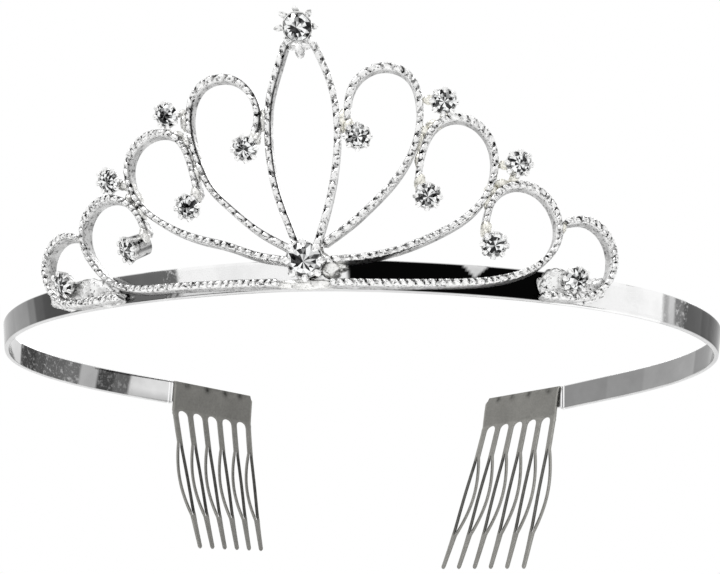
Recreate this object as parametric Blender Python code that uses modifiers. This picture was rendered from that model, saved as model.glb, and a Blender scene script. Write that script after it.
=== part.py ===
"""A rhinestone tiara: a springy headband, two folded side combs and an openwork crown.

Metres, +Z up. The front of the tiara faces -Y, left is -X, and Z = 0 is the middle of the
headband's height. The origin is the middle of the head opening, level with the headband's
widest place. A place on the crown is given as (s, z, out): s is the distance along the
headband from its front, positive to +X, z the height, and out the distance in front of the
headband's outer face, which leans outwards at the front and stands upright at the combs.
"""

import math

import bmesh
import bpy
import numpy as np
from mathutils import Matrix, Vector

MM = 0.001

# Headband
BAND_HEIGHT = 5.2 * MM
BAND_THICKNESS = 0.9 * MM
BAND_HALF_PLAN = (
    (0.0, -43.3), (24.0, -40.1), (46.3, -32.2), (64.9, -17.1), (71.1, 1.7), (62.7, 19.7), (48.5, 32.6),
)
BAND_STEP = 3.2 * MM
PLAN_STEP = 0.2 * MM
PLAN_OVERRUN = 9 * MM  # how far the plan runs on past the combs, for the slanting teeth
TONGUE_DROP = 0.5 * MM  # how much narrower the headband is, at each edge, inside a comb's fold
TONGUE_STEP = 0.1 * MM
FRONT_LEAN = 0.26  # outward shift of the face for each unit of height, at the front
LEAN_END = 130 * MM  # distance from the front at which the face stands upright

# Combs. Each arm of the headband ends in a straight stretch that the comb is folded over:
# the place where that stretch starts, as (x, y) in millimetres, and its angle to the X axis
ARM_ENDS = {"left": ((-47.1, 33.7), 43.0), "right": ((39.7, 39.7), 32.0)}
COMB_SHEET = 0.45 * MM
COMB_FIT = 0.08 * MM  # clearance between the comb's fold and the headband
TOOTH_COUNT = 6
TOOTH_PITCH = 3.72 * MM
TOOTH_NECK = 1.2 * MM
COMB_LENGTH = (TOOTH_COUNT - 1) * TOOTH_PITCH + TOOTH_NECK
FLAP_DEPTH = 4.2 * MM
FOLD_CORNER = 0.22 * MM
GAP_TOP = -4.0 * MM
SLIT_TOP = -11.6 * MM
TOOTH_SHORTENING = 0.04  # of the length, from the first tooth to the last
# The two combs were bent differently. The slant runs along the headband from the fold to the
# tips, and the gather is how much closer together the tips are than the roots.
SLIT_END = {"left": -28.2 * MM, "right": -30.6 * MM}
TOOTH_TIP = {"left": -35.4 * MM, "right": -38.4 * MM}
TOOTH_SLANT = {"left": 0.1 * MM, "right": 3.3 * MM}
TOOTH_GATHER = {"left": 0.207, "right": -0.14}
SLANT_EASE = 0.6  # below 1, the slant is steepest just under the fold
PLATE_ROW = 3  # the row of the sheet's grid where the toothed plate starts, inside the fold
TIP_WIDTH = 0.7 * MM
BRANCH_WIDTH = 0.55 * MM
SLIT_HALF_WIDTH = 0.5 * MM
REAR_SLIT_SHARE = -0.3  # the rear branch hangs straight, so its slit edge stays near the middle
FRONT_BRANCH_BOW = 1.5 * MM
REAR_BRANCH_BOW = -0.5 * MM
TOOTH_LEAN = 0.22  # inward slope at the top of the teeth
TOOTH_CURVE = 3.0  # how much that slope grows for each metre of depth

# Crown wires, milled strip standing on edge
CROWN_SHIFT = -0.9 * MM  # the crown's centre line, measured along the headband
STRIP_THICKNESS = 1.1 * MM
STRIP_NEAR = 0.15 * MM
STRIP_STEP = 1.5 * MM

# Depth of each wire's strip, and its routes on both sides, as (s, z) in millimetres from the
# crown's centre line. The crown is bent by hand, so the two sides differ a little.
WIRE_DEPTHS = {
    "centre_leaf": 1.75 * MM,
    "inner_arch": 1.95 * MM,
    "middle_arch": 2.35 * MM,
    "outer_arch": 2.6 * MM,
    "end_scroll": 2.85 * MM,
}
WIRES = {
    "left": {
        "centre_leaf": (
            (1.0, 5.2), (2.4, 8.8), (4.0, 13.5), (4.9, 18.0), (5.3, 23.8), (4.9, 29.4),
            (3.7, 34.0), (2.5, 38.0),
        ),
        "inner_arch": (
            (2.9, 4.5), (7.0, 6.9), (12.0, 11.1), (15.6, 15.0), (17.3, 18.5), (18.5, 22.2),
            (19.1, 26.0), (18.6, 30.0), (16.6, 32.8), (13.8, 33.7), (10.9, 33.1), (8.6, 31.1),
            (7.2, 28.3), (7.0, 26.0), (7.5, 23.6),
        ),
        "middle_arch": (
            (3.2, 2.0), (7.5, 2.9), (12.5, 4.8), (18.0, 6.5), (24.0, 9.3), (28.5, 12.8),
            (31.0, 16.8), (31.4, 20.8), (29.5, 24.1), (26.0, 25.6), (22.7, 25.0), (20.2, 22.5),
            (18.9, 19.0), (18.0, 15.0),
        ),
        "outer_arch": (
            (4.0, -1.85), (14.0, -1.6), (25.0, -1.25), (31.5, -0.8), (35.8, 0.7), (39.2, 3.8),
            (41.6, 8.0), (41.4, 12.1), (38.9, 14.9), (35.3, 15.6), (31.9, 14.2), (29.6, 11.7),
            (28.5, 9.3),
        ),
        "end_scroll": (
            (43.3, 9.9), (46.4, 10.5), (49.4, 9.4), (51.3, 6.8), (51.5, 4.0), (50.2, 1.0),
            (47.6, -1.2), (43.5, -1.9), (34.6, -2.05),
        ),
    },
    "right": {
        "centre_leaf": (
            (3.1, 5.6), (4.1, 9.0), (5.3, 14.5), (5.9, 20.0), (5.9, 24.5), (5.2, 29.7),
            (4.0, 33.7), (2.1, 38.2),
        ),
        "inner_arch": (
            (4.9, 5.3), (8.6, 8.1), (12.4, 11.8), (15.5, 15.5), (17.8, 19.7), (18.9, 24.0),
            (18.8, 29.0), (17.1, 32.9), (14.0, 34.4), (10.9, 33.8), (8.7, 31.8), (7.6, 28.9),
            (7.6, 25.2),
        ),
        "middle_arch": (
            (5.2, 1.85), (11.5, 2.5), (17.5, 4.2), (23.5, 7.1), (28.4, 10.7), (30.9, 14.5),
            (31.7, 18.8), (30.7, 22.9), (28.0, 25.7), (24.6, 26.3), (21.6, 24.6), (19.9, 21.0),
            (19.2, 16.2),
        ),
        "outer_arch": (
            (5.6, -1.9), (14.0, -1.85), (24.0, -1.4), (32.0, -0.5), (37.7, 1.3), (41.4, 4.0),
            (43.2, 8.0), (42.3, 12.0), (39.4, 15.1), (36.0, 15.9), (33.1, 14.7), (31.4, 12.2),
            (30.7, 8.8),
        ),
        "end_scroll": (
            (44.7, 10.7), (47.7, 11.3), (50.7, 10.1), (52.8, 7.2), (53.3, 3.8), (52.2, 0.8),
            (49.5, -1.4), (46.0, -2.0), (41.3, -2.05),
        ),
    },
}

# Crystals in their claw cups: the girdle radius, the place (s, z) in millimetres from the
# crown's centre line, and for one that was soldered askew the angle that it is turned by
SMALL_CRYSTAL = 2.0 * MM
TOP_CRYSTAL = 2.4 * MM
CENTRE_CRYSTAL = 3.0 * MM
SETTINGS = {
    "left": {
        "upper_junction": (22.7, 27.6),
        "lower_junction": (34.9, 17.9),
        "inner_drop": (8.8, 20.2),
        "middle_drop": (19.4, 11.3),
        "outer_drop": (31.2, 4.8),
        "end": (46.7, 1.4),
    },
    "right": {
        "upper_junction": (22.7, 28.0),
        "lower_junction": (35.4, 18.7),
        "inner_drop": (9.3, 21.6),
        "middle_drop": (20.8, 12.1),
        "outer_drop": (32.2, 4.8),
        "end": (46.6, 0.4),
    },
}
TOP_SETTING = (-0.1, 40.0)
CENTRE_SETTING = (1.1, 0.7)
TURNED_CUPS = {"outer_drop_left": -22.0}
DEEPER_CUPS = {"outer_drop_left": 2.2 * MM}
DEEPER_FLARE = 0.3  # how much wider its back is, for each unit of extra depth
CLAW_COUNT = 6
CUP_SHEET = 0.22 * MM
CUP_CLEARANCE = 0.06 * MM
CUP_TILT = 20.0  # degrees by which the cups face down from straight out of the crown
TABLE_STAND = {SMALL_CRYSTAL: 3.6 * MM, TOP_CRYSTAL: 3.9 * MM, CENTRE_CRYSTAL: 4.6 * MM}
CLOSED_CLAWS = (0.86, 0.2)  # where the claws end beyond the girdle: radius and height, in girdle radii
OPEN_CLAWS = (1.7, 0.3)  # the top cup's claws were left splayed

# Crystal proportions, in girdle radii
TABLE_RADIUS = 0.58
CROWN_HEIGHT = 0.34
GIRDLE_HEIGHT = 0.08
PAVILION_DEPTH = 0.72
GIRDLE_LEVEL = 0.86  # height of the girdle's lower edge above the cup's back

# Solder that carries the centre cup
SOLDER_MIDDLE = 1.0 * MM
SOLDER_HALF_LENGTH = 4.0 * MM
SOLDER_LOW = -2.35 * MM
SOLDER_HIGH = -1.75 * MM
SOLDER_DEPTH = 2.0 * MM

SIDES = {"left": -1, "right": 1}


def clear_scene():
    for item in list(bpy.data.objects):
        bpy.data.objects.remove(item, do_unlink=True)


def collection_named(name):
    made = bpy.data.collections.new(name)
    bpy.context.scene.collection.children.link(made)
    return made


def metal(name, colour, roughness):
    material = bpy.data.materials.new(name)
    material.use_nodes = True
    shader = material.node_tree.nodes["Principled BSDF"]
    shader.inputs["Base Color"].default_value = (*colour, 1.0)
    shader.inputs["Metallic"].default_value = 1.0
    shader.inputs["Roughness"].default_value = roughness
    return material


def crystal_glass(name):
    material = bpy.data.materials.new(name)
    material.use_nodes = True
    shader = material.node_tree.nodes["Principled BSDF"]
    shader.inputs["Base Color"].default_value = (0.95, 0.96, 0.97, 1.0)
    shader.inputs["Roughness"].default_value = 0.02
    shader.inputs["Transmission Weight"].default_value = 0.9
    return material


def smooth_line(points, count):
    """Returns count points on the natural cubic spline through the given points."""
    points = np.array(points, float)
    gaps = np.linalg.norm(np.diff(points, axis=0), axis=1)
    knots = np.concatenate([[0.0], np.cumsum(gaps)])
    size = len(points)
    matrix = np.eye(size)
    right = np.zeros_like(points)
    for i in range(1, size - 1):
        matrix[i, i - 1 : i + 2] = gaps[i - 1], 2 * (gaps[i - 1] + gaps[i]), gaps[i]
        slope_change = (points[i + 1] - points[i]) / gaps[i] - (points[i] - points[i - 1]) / gaps[i - 1]
        right[i] = 6 * slope_change
    bend = np.linalg.solve(matrix, right)
    at = np.linspace(0.0, knots[-1], count)
    k = np.clip(np.searchsorted(knots, at, side="right") - 1, 0, size - 2)
    gap = gaps[k][:, None]
    before = (knots[k + 1] - at)[:, None] / gap
    after = 1.0 - before
    bulge = (before**3 - before) * bend[k] + (after**3 - after) * bend[k + 1]
    return before * points[k] + after * points[k + 1] + bulge * gap**2 / 6


def evenly_spaced(line, step):
    """Resamples a dense line at equal distances close to step."""
    along = np.concatenate([[0.0], np.cumsum(np.linalg.norm(np.diff(line, axis=0), axis=1))])
    at = np.linspace(0.0, along[-1], round(along[-1] / step) + 1)
    return np.stack([np.interp(at, along, column) for column in line.T], axis=1)


def band_plan():
    """The headband's outer face from above: points, and their distance from the front."""
    half = np.array(BAND_HALF_PLAN) * MM
    ends = {side: np.array(start) * MM for side, (start, angle) in ARM_ENDS.items()}
    through = [[ends["left"]], half[:0:-1] * (-1, 1), half, [ends["right"]]]
    curve = smooth_line(np.concatenate(through), 1201)
    tips = []
    for side, (start, angle) in ARM_ENDS.items():
        turn = math.radians(angle)
        heading = np.array((-SIDES[side] * math.cos(turn), math.sin(turn)))
        tips.append(ends[side] + (COMB_LENGTH + PLAN_OVERRUN) * heading)
    plan = evenly_spaced(np.concatenate([[tips[0]], curve, [tips[1]]]), PLAN_STEP)
    along = np.concatenate([[0.0], np.cumsum(np.linalg.norm(np.diff(plan, axis=0), axis=1))])
    return plan, along - along[np.argmin(plan[:, 1])]


PLAN, PLAN_S = band_plan()
PLAN_DIRECTION = np.gradient(PLAN, PLAN_S, axis=0)
COMB_START = {
    side: abs(PLAN_S[end]) - COMB_LENGTH - PLAN_OVERRUN for side, end in (("left", 0), ("right", -1))
}


def on_face(s, z, out):
    """The point out in front of the headband's outer face, s along it and z high."""
    x, y, along_x, along_y = (
        np.interp(s, PLAN_S, values) for values in (*PLAN.T, *PLAN_DIRECTION.T)
    )
    size = math.hypot(along_x, along_y)
    reach = out + z * FRONT_LEAN * max(0.0, 1.0 - (s / LEAN_END) ** 2)
    return Vector((x + reach * along_y / size, y - reach * along_x / size, z))


def sheet_mesh(columns, rows, place, missing=lambda column, row: False):
    """An open sheet of columns x rows cells, with its corners put where place(column, row) says."""
    sheet = bmesh.new()
    bmesh.ops.create_grid(sheet, x_segments=columns, y_segments=rows, size=0.5)
    cells = {}
    for face in sheet.faces:
        centre = face.calc_center_median()
        cells[face] = (int((centre.x + 0.5) * columns), int((centre.y + 0.5) * rows))
    for corner in sheet.verts:
        corner.co = place(round((corner.co.x + 0.5) * columns), round((corner.co.y + 0.5) * rows))
    unwanted = [face for face, cell in cells.items() if missing(*cell)]
    bmesh.ops.delete(sheet, geom=unwanted, context="FACES")
    return sheet


def add_object(name, sheet, material, thickness=0.0, offset=0.0):
    """Makes an object of the mesh, and gives an open sheet its thickness."""
    data = bpy.data.meshes.new(name)
    sheet.to_mesh(data)
    sheet.free()
    data.materials.append(material)
    made = bpy.data.objects.new(name, data)
    TIARA.objects.link(made)
    if thickness:
        solid = made.modifiers.new("thickness", "SOLIDIFY")
        solid.thickness = thickness
        solid.offset = offset
        solid.use_even_offset = True
        solid.use_quality_normals = True
    return made


def headband():
    """One strip from the end of one comb to the end of the other."""
    left, right = -COMB_START["left"], COMB_START["right"]
    steps = round((right - left) / BAND_STEP)
    inset = COMB_LENGTH - TONGUE_STEP
    open_stretch = np.linspace(left + TONGUE_STEP, right - TONGUE_STEP, steps)
    stations = [left - inset, left, *open_stretch, right, right + inset]

    def place(column, row):
        in_comb = column < 2 or column > steps + 1
        half = BAND_HEIGHT / 2 - (TONGUE_DROP if in_comb else 0.0)
        return on_face(stations[column], half * (2 * row - 1), 0.0)

    sheet = sheet_mesh(len(stations) - 1, 1, place)
    band = add_object("headband", sheet, SILVER, BAND_THICKNESS, -1.0)
    band.data.shade_smooth()
    band.data.set_sharp_from_angle(angle=math.radians(30))
    return band


def tooth_edges(side, depth):
    """Half the tooth's width and half its slit's width, at a depth below the gaps' tops."""
    neck = TOOTH_NECK / 2
    slit_start = GAP_TOP - SLIT_TOP
    slit_end = GAP_TOP - SLIT_END[side]
    if depth <= slit_start:
        shoulder = TOOTH_PITCH / 2 - neck
        rise = min(depth / shoulder, 1.0)
        gap = shoulder * (0.25 + 0.75 * math.sqrt(1.0 - (1.0 - rise) ** 2))
        return TOOTH_PITCH / 2 - gap, neck * 0.2
    if depth < slit_end:
        swell = math.sin(math.pi * (depth - slit_start) / (slit_end - slit_start))
        slit = SLIT_HALF_WIDTH * max(swell, 0.0) ** 0.6
        return max(neck, slit + BRANCH_WIDTH), max(slit, neck * 0.2)
    taper = (depth - slit_end) / (GAP_TOP - TOOTH_TIP[side] - slit_end)
    half = neck + (TIP_WIDTH / 2 - neck) * taper
    return half, half * 0.4


def comb_rows(slit_end, tip):
    """The sheet's middle from the flap's edge over the fold to the tips: (out, z) for each row."""
    gap = COMB_FIT + COMB_SHEET / 2
    outer = gap
    inner = -BAND_THICKNESS - gap
    top = BAND_HEIGHT / 2 - TONGUE_DROP + gap
    rows = [(outer, top - FLAP_DEPTH), (outer, top - FOLD_CORNER), (outer - FOLD_CORNER, top)]
    rows += [(inner + FOLD_CORNER, top), (inner, top - FOLD_CORNER), (inner, 0.0), (inner, GAP_TOP)]
    slit = [SLIT_TOP + (slit_end - SLIT_TOP) * part for part in (0.0, 0.08, 0.28, 0.5, 0.72, 0.92, 1.0)]
    tips = [slit_end + (tip - slit_end) * part for part in (0.35, 0.9, 1.0)]
    for z in (GAP_TOP - 0.35 * MM, GAP_TOP - 1.3 * MM, *slit, *tips):
        depth = GAP_TOP - z
        rows.append((inner - TOOTH_LEAN * depth - TOOTH_CURVE * depth**2, z))
    return rows


def comb(side):
    """A comb of one stamped sheet, folded over the headband and cut into split teeth."""
    slit_end, tip = SLIT_END[side], TOOTH_TIP[side]
    rows = comb_rows(slit_end, tip)
    first_tooth_row = rows.index(next(row for row in rows if row[1] == GAP_TOP))
    slit_rows = [i for i, row in enumerate(rows) if slit_end <= row[1] <= SLIT_TOP]

    def place(column, row):
        tooth, edge = divmod(column, 4)
        out, z = rows[row]
        depth = max(0.0, GAP_TOP - z)
        half, slit = tooth_edges(side, depth)
        if row == len(rows) - 1:
            half, slit = half * 0.45, slit * 0.45
        bow = 0.0
        if slit_rows[0] < row < slit_rows[-1]:
            swell = math.sin(math.pi * (SLIT_TOP - z) / (SLIT_TOP - slit_end))
            bow = (FRONT_BRANCH_BOW if edge < 2 else REAR_BRANCH_BOW) * swell
        rear_slit = slit * REAR_SLIT_SHARE if bow else slit
        across = (-half, -slit, rear_slit, half - slit + rear_slit)[edge]
        if row <= first_tooth_row + 2 and column in (0, TOOTH_COUNT * 4 - 1):
            across = math.copysign(TOOTH_NECK / 2, across)
        share = depth / (GAP_TOP - tip)
        below_fold = (rows[PLATE_ROW][1] - z) / (rows[PLATE_ROW][1] - tip) if row > PLATE_ROW else 0.0
        last = (TOOTH_COUNT - 1) * TOOTH_PITCH
        before_last = (last - tooth * TOOTH_PITCH) * (1.0 - TOOTH_GATHER[side] * share)
        slant = TOOTH_SLANT[side] * below_fold**SLANT_EASE
        s = COMB_START[side] + TOOTH_NECK / 2 + last - before_last + slant + across
        z += depth * TOOTH_SHORTENING * tooth / (TOOTH_COUNT - 1)
        return on_face(SIDES[side] * s, z, out + bow)

    def missing(column, row):
        in_gap = column % 4 == 3 and row >= first_tooth_row
        in_slit = column % 4 == 1 and slit_rows[0] <= row < slit_rows[-1]
        return in_gap or in_slit

    sheet = sheet_mesh(TOOTH_COUNT * 4 - 1, len(rows) - 1, place, missing)
    return add_object(f"comb_{side}", sheet, COMB_METAL, COMB_SHEET)


def wire(name, side):
    """A milled strip bent on edge along its route and standing out from the headband's face."""
    route = evenly_spaced(smooth_line(np.array(WIRES[side][name]) * MM, 400), STRIP_STEP)

    def place(column, row):
        s, z = route[column]
        out = STRIP_NEAR + row * WIRE_DEPTHS[name]
        return on_face(CROWN_SHIFT + SIDES[side] * s, z, out)

    made = add_object(f"{name}_{side}", sheet_mesh(len(route) - 1, 1, place), SILVER, STRIP_THICKNESS)
    made.data.shade_smooth()
    made.data.set_sharp_from_angle(angle=math.radians(40))
    return made


def facing_out(s, z, out):
    """A frame at that place whose Z axis points straight out of the crown."""
    origin = on_face(s, z, out)
    ahead = (on_face(s, z, out + MM) - origin).normalized()
    up = (on_face(s, z + MM, out) - origin).normalized()
    side = up.cross(ahead).normalized()
    ahead = side.cross(up)
    turned = Matrix((side, up, ahead)).transposed().to_4x4()
    return Matrix.Translation(origin) @ turned


def crystal_mesh(radius):
    """A round brilliant: a small point, a pavilion, a girdle, a crown and a flat table."""
    level = GIRDLE_LEVEL * radius
    profile = (
        (0.06 * radius, level - PAVILION_DEPTH * radius),
        (radius, level),
        (radius, level + GIRDLE_HEIGHT * radius),
        (TABLE_RADIUS * radius, level + (GIRDLE_HEIGHT + CROWN_HEIGHT) * radius),
    )
    stone = bmesh.new()
    bmesh.ops.create_cone(
        stone,
        cap_ends=True,
        segments=CLAW_COUNT * 2,
        radius1=radius,
        radius2=radius,
        depth=GIRDLE_HEIGHT * radius,
    )
    for corner in stone.verts:
        corner.co.z += level + GIRDLE_HEIGHT * radius / 2
    for face in [face for face in stone.faces if abs(face.normal.z) > 0.5]:
        target = profile[3] if face.normal.z > 0 else profile[0]
        bmesh.ops.inset_individual(stone, faces=[face], thickness=0.1 * radius)
        for corner in face.verts:
            flat = Vector((corner.co.x, corner.co.y)).normalized() * target[0]
            corner.co = (flat.x, flat.y, target[1])
    return stone


def cup_mesh(radius, claw_end, deeper):
    """A claw cup as an open sheet: a round back, a flaring wall and claws bent over the crystal."""
    level = GIRDLE_LEVEL * radius
    inner = radius + CUP_CLEARANCE
    claw_height = level + (GIRDLE_HEIGHT + 0.08) * radius
    rings = (
        (0.0, -deeper, 1.0),
        (0.5 * radius + DEEPER_FLARE * deeper, -deeper, 1.0),
        (inner, level, 1.0),
        (inner + 0.02 * MM, claw_height, 0.8),
        (claw_end[0] * radius, claw_height + claw_end[1] * radius, 0.45),
    )
    wall_rows = 2
    columns = CLAW_COUNT * 2

    def place(column, row):
        ring_radius, height, width = rings[row]
        half_cell = math.pi / columns
        claw_centre = (column // 2) * 4 * half_cell + half_cell
        angle = claw_centre + (2 * (column % 2) - 1) * half_cell * width
        return Vector((ring_radius * math.cos(angle), ring_radius * math.sin(angle), height))

    def missing(column, row):
        return row >= wall_rows and column % 2 == 1

    cup = sheet_mesh(columns, len(rings) - 1, place, missing)
    bmesh.ops.remove_doubles(cup, verts=cup.verts, dist=0.001 * MM)
    return cup


def setting(name, s_mm, z_mm, radius, claw_end=CLOSED_CLAWS):
    """A claw cup and the crystal that it holds. The place given is that of the crystal's table."""
    table = (GIRDLE_LEVEL + GIRDLE_HEIGHT + CROWN_HEIGHT) * radius
    deeper = DEEPER_CUPS.get(name, 0.0)
    frame = facing_out(CROWN_SHIFT + s_mm * MM, z_mm * MM, TABLE_STAND[radius] + deeper / 2)
    frame @= Matrix.Rotation(math.radians(TURNED_CUPS.get(name, 0.0)), 4, "Y")
    frame @= Matrix.Rotation(math.radians(CUP_TILT), 4, "X")
    frame @= Matrix.Translation((0.0, 0.0, -table))
    cup = add_object(f"cup_{name}", cup_mesh(radius, claw_end, deeper), SILVER, CUP_SHEET, 1.0)
    crystal = add_object(f"crystal_{name}", crystal_mesh(radius), CRYSTAL)
    for made in (cup, crystal):
        made.matrix_world = frame


def centre_solder():
    """The bead of solder along the headband that the centre cup sits on."""
    bead = bmesh.new()
    bmesh.ops.create_cube(bead, size=1.0)
    for corner in bead.verts:
        s = CROWN_SHIFT + SOLDER_MIDDLE + SOLDER_HALF_LENGTH * 2 * corner.co.x
        z = SOLDER_LOW + (SOLDER_HIGH - SOLDER_LOW) * (corner.co.z + 0.5)
        corner.co = on_face(s, z, STRIP_NEAR + SOLDER_DEPTH * (0.5 - corner.co.y))
    return add_object("centre_solder", bead, SILVER)


clear_scene()
TIARA = collection_named("tiara")
SILVER = metal("polished silver plate", (0.86, 0.86, 0.85), 0.12)
COMB_METAL = metal("dull comb steel", (0.42, 0.41, 0.39), 0.35)
CRYSTAL = crystal_glass("cut crystal")

headband()
for side_name, direction in SIDES.items():
    comb(side_name)
    for wire_name in WIRES[side_name]:
        wire(wire_name, side_name)
    for setting_name, (s_from_centre, height) in SETTINGS[side_name].items():
        setting(f"{setting_name}_{side_name}", direction * s_from_centre, height, SMALL_CRYSTAL)
setting("top", *TOP_SETTING, TOP_CRYSTAL, OPEN_CLAWS)
setting("centre", *CENTRE_SETTING, CENTRE_CRYSTAL)
centre_solder()
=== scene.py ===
# %% [markdown]
# # A rhinestone tiara
# The tiara is a springy headband of flat strip, polished like a mirror, with a stamped comb
# folded over each end. An openwork crown of milled strip is soldered to its front, and fourteen
# crystals sit on it in claw cups. The imported solids give every place and size. This lesson builds
# the surfaces that the eye sees on top of them: rounded strip edges, milled beads, claws, facets
# and lumps of solder. It starts by loading the solids.

# %% Load the solids
import math

import bmesh
import bpy
import numpy as np
from mathutils import Matrix, Vector, noise


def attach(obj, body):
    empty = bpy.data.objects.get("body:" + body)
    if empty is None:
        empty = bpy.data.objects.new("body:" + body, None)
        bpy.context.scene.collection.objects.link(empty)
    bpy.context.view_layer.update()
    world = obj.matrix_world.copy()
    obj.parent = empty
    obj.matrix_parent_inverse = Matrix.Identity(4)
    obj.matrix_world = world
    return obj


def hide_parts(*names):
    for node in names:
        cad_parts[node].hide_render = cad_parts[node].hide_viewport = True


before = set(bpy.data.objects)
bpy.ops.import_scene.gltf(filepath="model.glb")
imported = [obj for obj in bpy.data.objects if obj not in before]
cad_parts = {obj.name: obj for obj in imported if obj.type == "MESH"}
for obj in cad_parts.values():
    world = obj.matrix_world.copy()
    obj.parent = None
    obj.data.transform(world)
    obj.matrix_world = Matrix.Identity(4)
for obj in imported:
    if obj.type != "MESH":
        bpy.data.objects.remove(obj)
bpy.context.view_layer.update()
MM = 0.001
SIDES = {"left": -1, "right": 1}
print("solids:", len(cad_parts))

# %% [markdown]
# ## The headband's plan
# Everything on a tiara follows one line: the headband's outer face seen from above. A spline
# through a few measured points gives it, with a straight stretch at each end for the comb. From
# then on a place is given as (s, z, out): how far along the headband, how high, and how far out
# in front of it. The face leans outwards at the front and stands upright at the ends.

# %% Headband plan and the (s, z, out) places
BAND_HEIGHT = 5.2
BAND_THICKNESS = 0.9
HALF_PLAN = (
    (0.0, -43.3), (24.0, -40.1), (46.3, -32.2), (64.9, -17.1), (71.1, 1.7), (62.7, 19.7),
    (48.5, 32.6),
)
ARM_ENDS = {"left": ((-47.1, 33.7), 43.0), "right": ((39.7, 39.7), 32.0)}
FRONT_LEAN = 0.26
LEAN_END = 130.0
TOOTH_COUNT = 6
TOOTH_PITCH = 3.72
TOOTH_NECK = 1.2
COMB_LENGTH = (TOOTH_COUNT - 1) * TOOTH_PITCH + TOOTH_NECK
OVERRUN = 9.0  # the plan runs on this far past the combs, for their slanting teeth
CURVE_POINTS = 1201
PLAN_STEP = 0.2


def smooth_line(points, count):
    """Returns count points on the natural cubic spline through the given points."""
    points = np.array(points, float)
    gaps = np.linalg.norm(np.diff(points, axis=0), axis=1)
    knots = np.concatenate([[0.0], np.cumsum(gaps)])
    size = len(points)
    matrix = np.eye(size)
    right = np.zeros_like(points)
    for i in range(1, size - 1):
        matrix[i, i - 1 : i + 2] = gaps[i - 1], 2 * (gaps[i - 1] + gaps[i]), gaps[i]
        slope_change = (points[i + 1] - points[i]) / gaps[i] - (points[i] - points[i - 1]) / gaps[i - 1]
        right[i] = 6 * slope_change
    bend = np.linalg.solve(matrix, right)
    at = np.linspace(0.0, knots[-1], count)
    k = np.clip(np.searchsorted(knots, at, side="right") - 1, 0, size - 2)
    gap = gaps[k][:, None]
    before = (knots[k + 1] - at)[:, None] / gap
    after = 1.0 - before
    bulge = (before**3 - before) * bend[k] + (after**3 - after) * bend[k + 1]
    return before * points[k] + after * points[k + 1] + bulge * gap**2 / 6


def unit(vector):
    return vector / np.linalg.norm(vector)


def along(line):
    """Distance of each point of a line from its start."""
    return np.concatenate([[0.0], np.cumsum(np.linalg.norm(np.diff(line, axis=0), axis=1))])


def evenly_spaced(line, step):
    """Resamples a dense line at equal distances close to step."""
    at = np.linspace(0.0, along(line)[-1], round(along(line)[-1] / step) + 1)
    return np.stack([np.interp(at, along(line), column) for column in line.T], axis=1)


half = np.array(HALF_PLAN)
arm_start = {side: np.array(start) for side, (start, angle) in ARM_ENDS.items()}
through = [[arm_start["left"]], half[:0:-1] * (-1, 1), half, [arm_start["right"]]]
curve = smooth_line(np.concatenate(through), CURVE_POINTS)
tips = []
for side, (start, angle) in ARM_ENDS.items():
    turn = math.radians(angle)
    heading = np.array((-SIDES[side] * math.cos(turn), math.sin(turn)))
    tips.append(arm_start[side] + (COMB_LENGTH + OVERRUN) * heading)
PLAN = evenly_spaced(np.concatenate([[tips[0]], curve, [tips[1]]]), PLAN_STEP)
PLAN_S = along(PLAN) - along(PLAN)[np.argmin(PLAN[:, 1])]
PLAN_DIRECTION = np.gradient(PLAN, PLAN_S, axis=0)
PLAN_DIRECTION /= np.linalg.norm(PLAN_DIRECTION, axis=1)[:, None]
COMB_START = {
    side: abs(PLAN_S[end]) - COMB_LENGTH - OVERRUN for side, end in (("left", 0), ("right", -1))
}


def on_face(s, z, out):
    """Points in metres for places in millimetres. s, z and out may be numbers or arrays."""
    s, z, out = np.broadcast_arrays(np.asarray(s, float), z, out)
    x, y, dx, dy = (np.interp(s, PLAN_S, column) for column in (*PLAN.T, *PLAN_DIRECTION.T))
    reach = out + z * FRONT_LEAN * np.maximum(0.0, 1.0 - (s / LEAN_END) ** 2)
    return np.stack([x + reach * dy, y - reach * dx, z], axis=-1) * MM


print("headband runs from", round(PLAN_S[0], 1), "to", round(PLAN_S[-1], 1), "mm")

# %% [markdown]
# ## A shorthand for shader nodes
# Finishes are sums: so much darker in a nick, so much rougher in a speckle. Writing them as
# expressions is easier to read than wiring boxes, so a small class wraps a socket, and each
# operator on it adds a Math node. Colours go through a Mix node instead, since a Math node would
# turn them grey.

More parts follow.
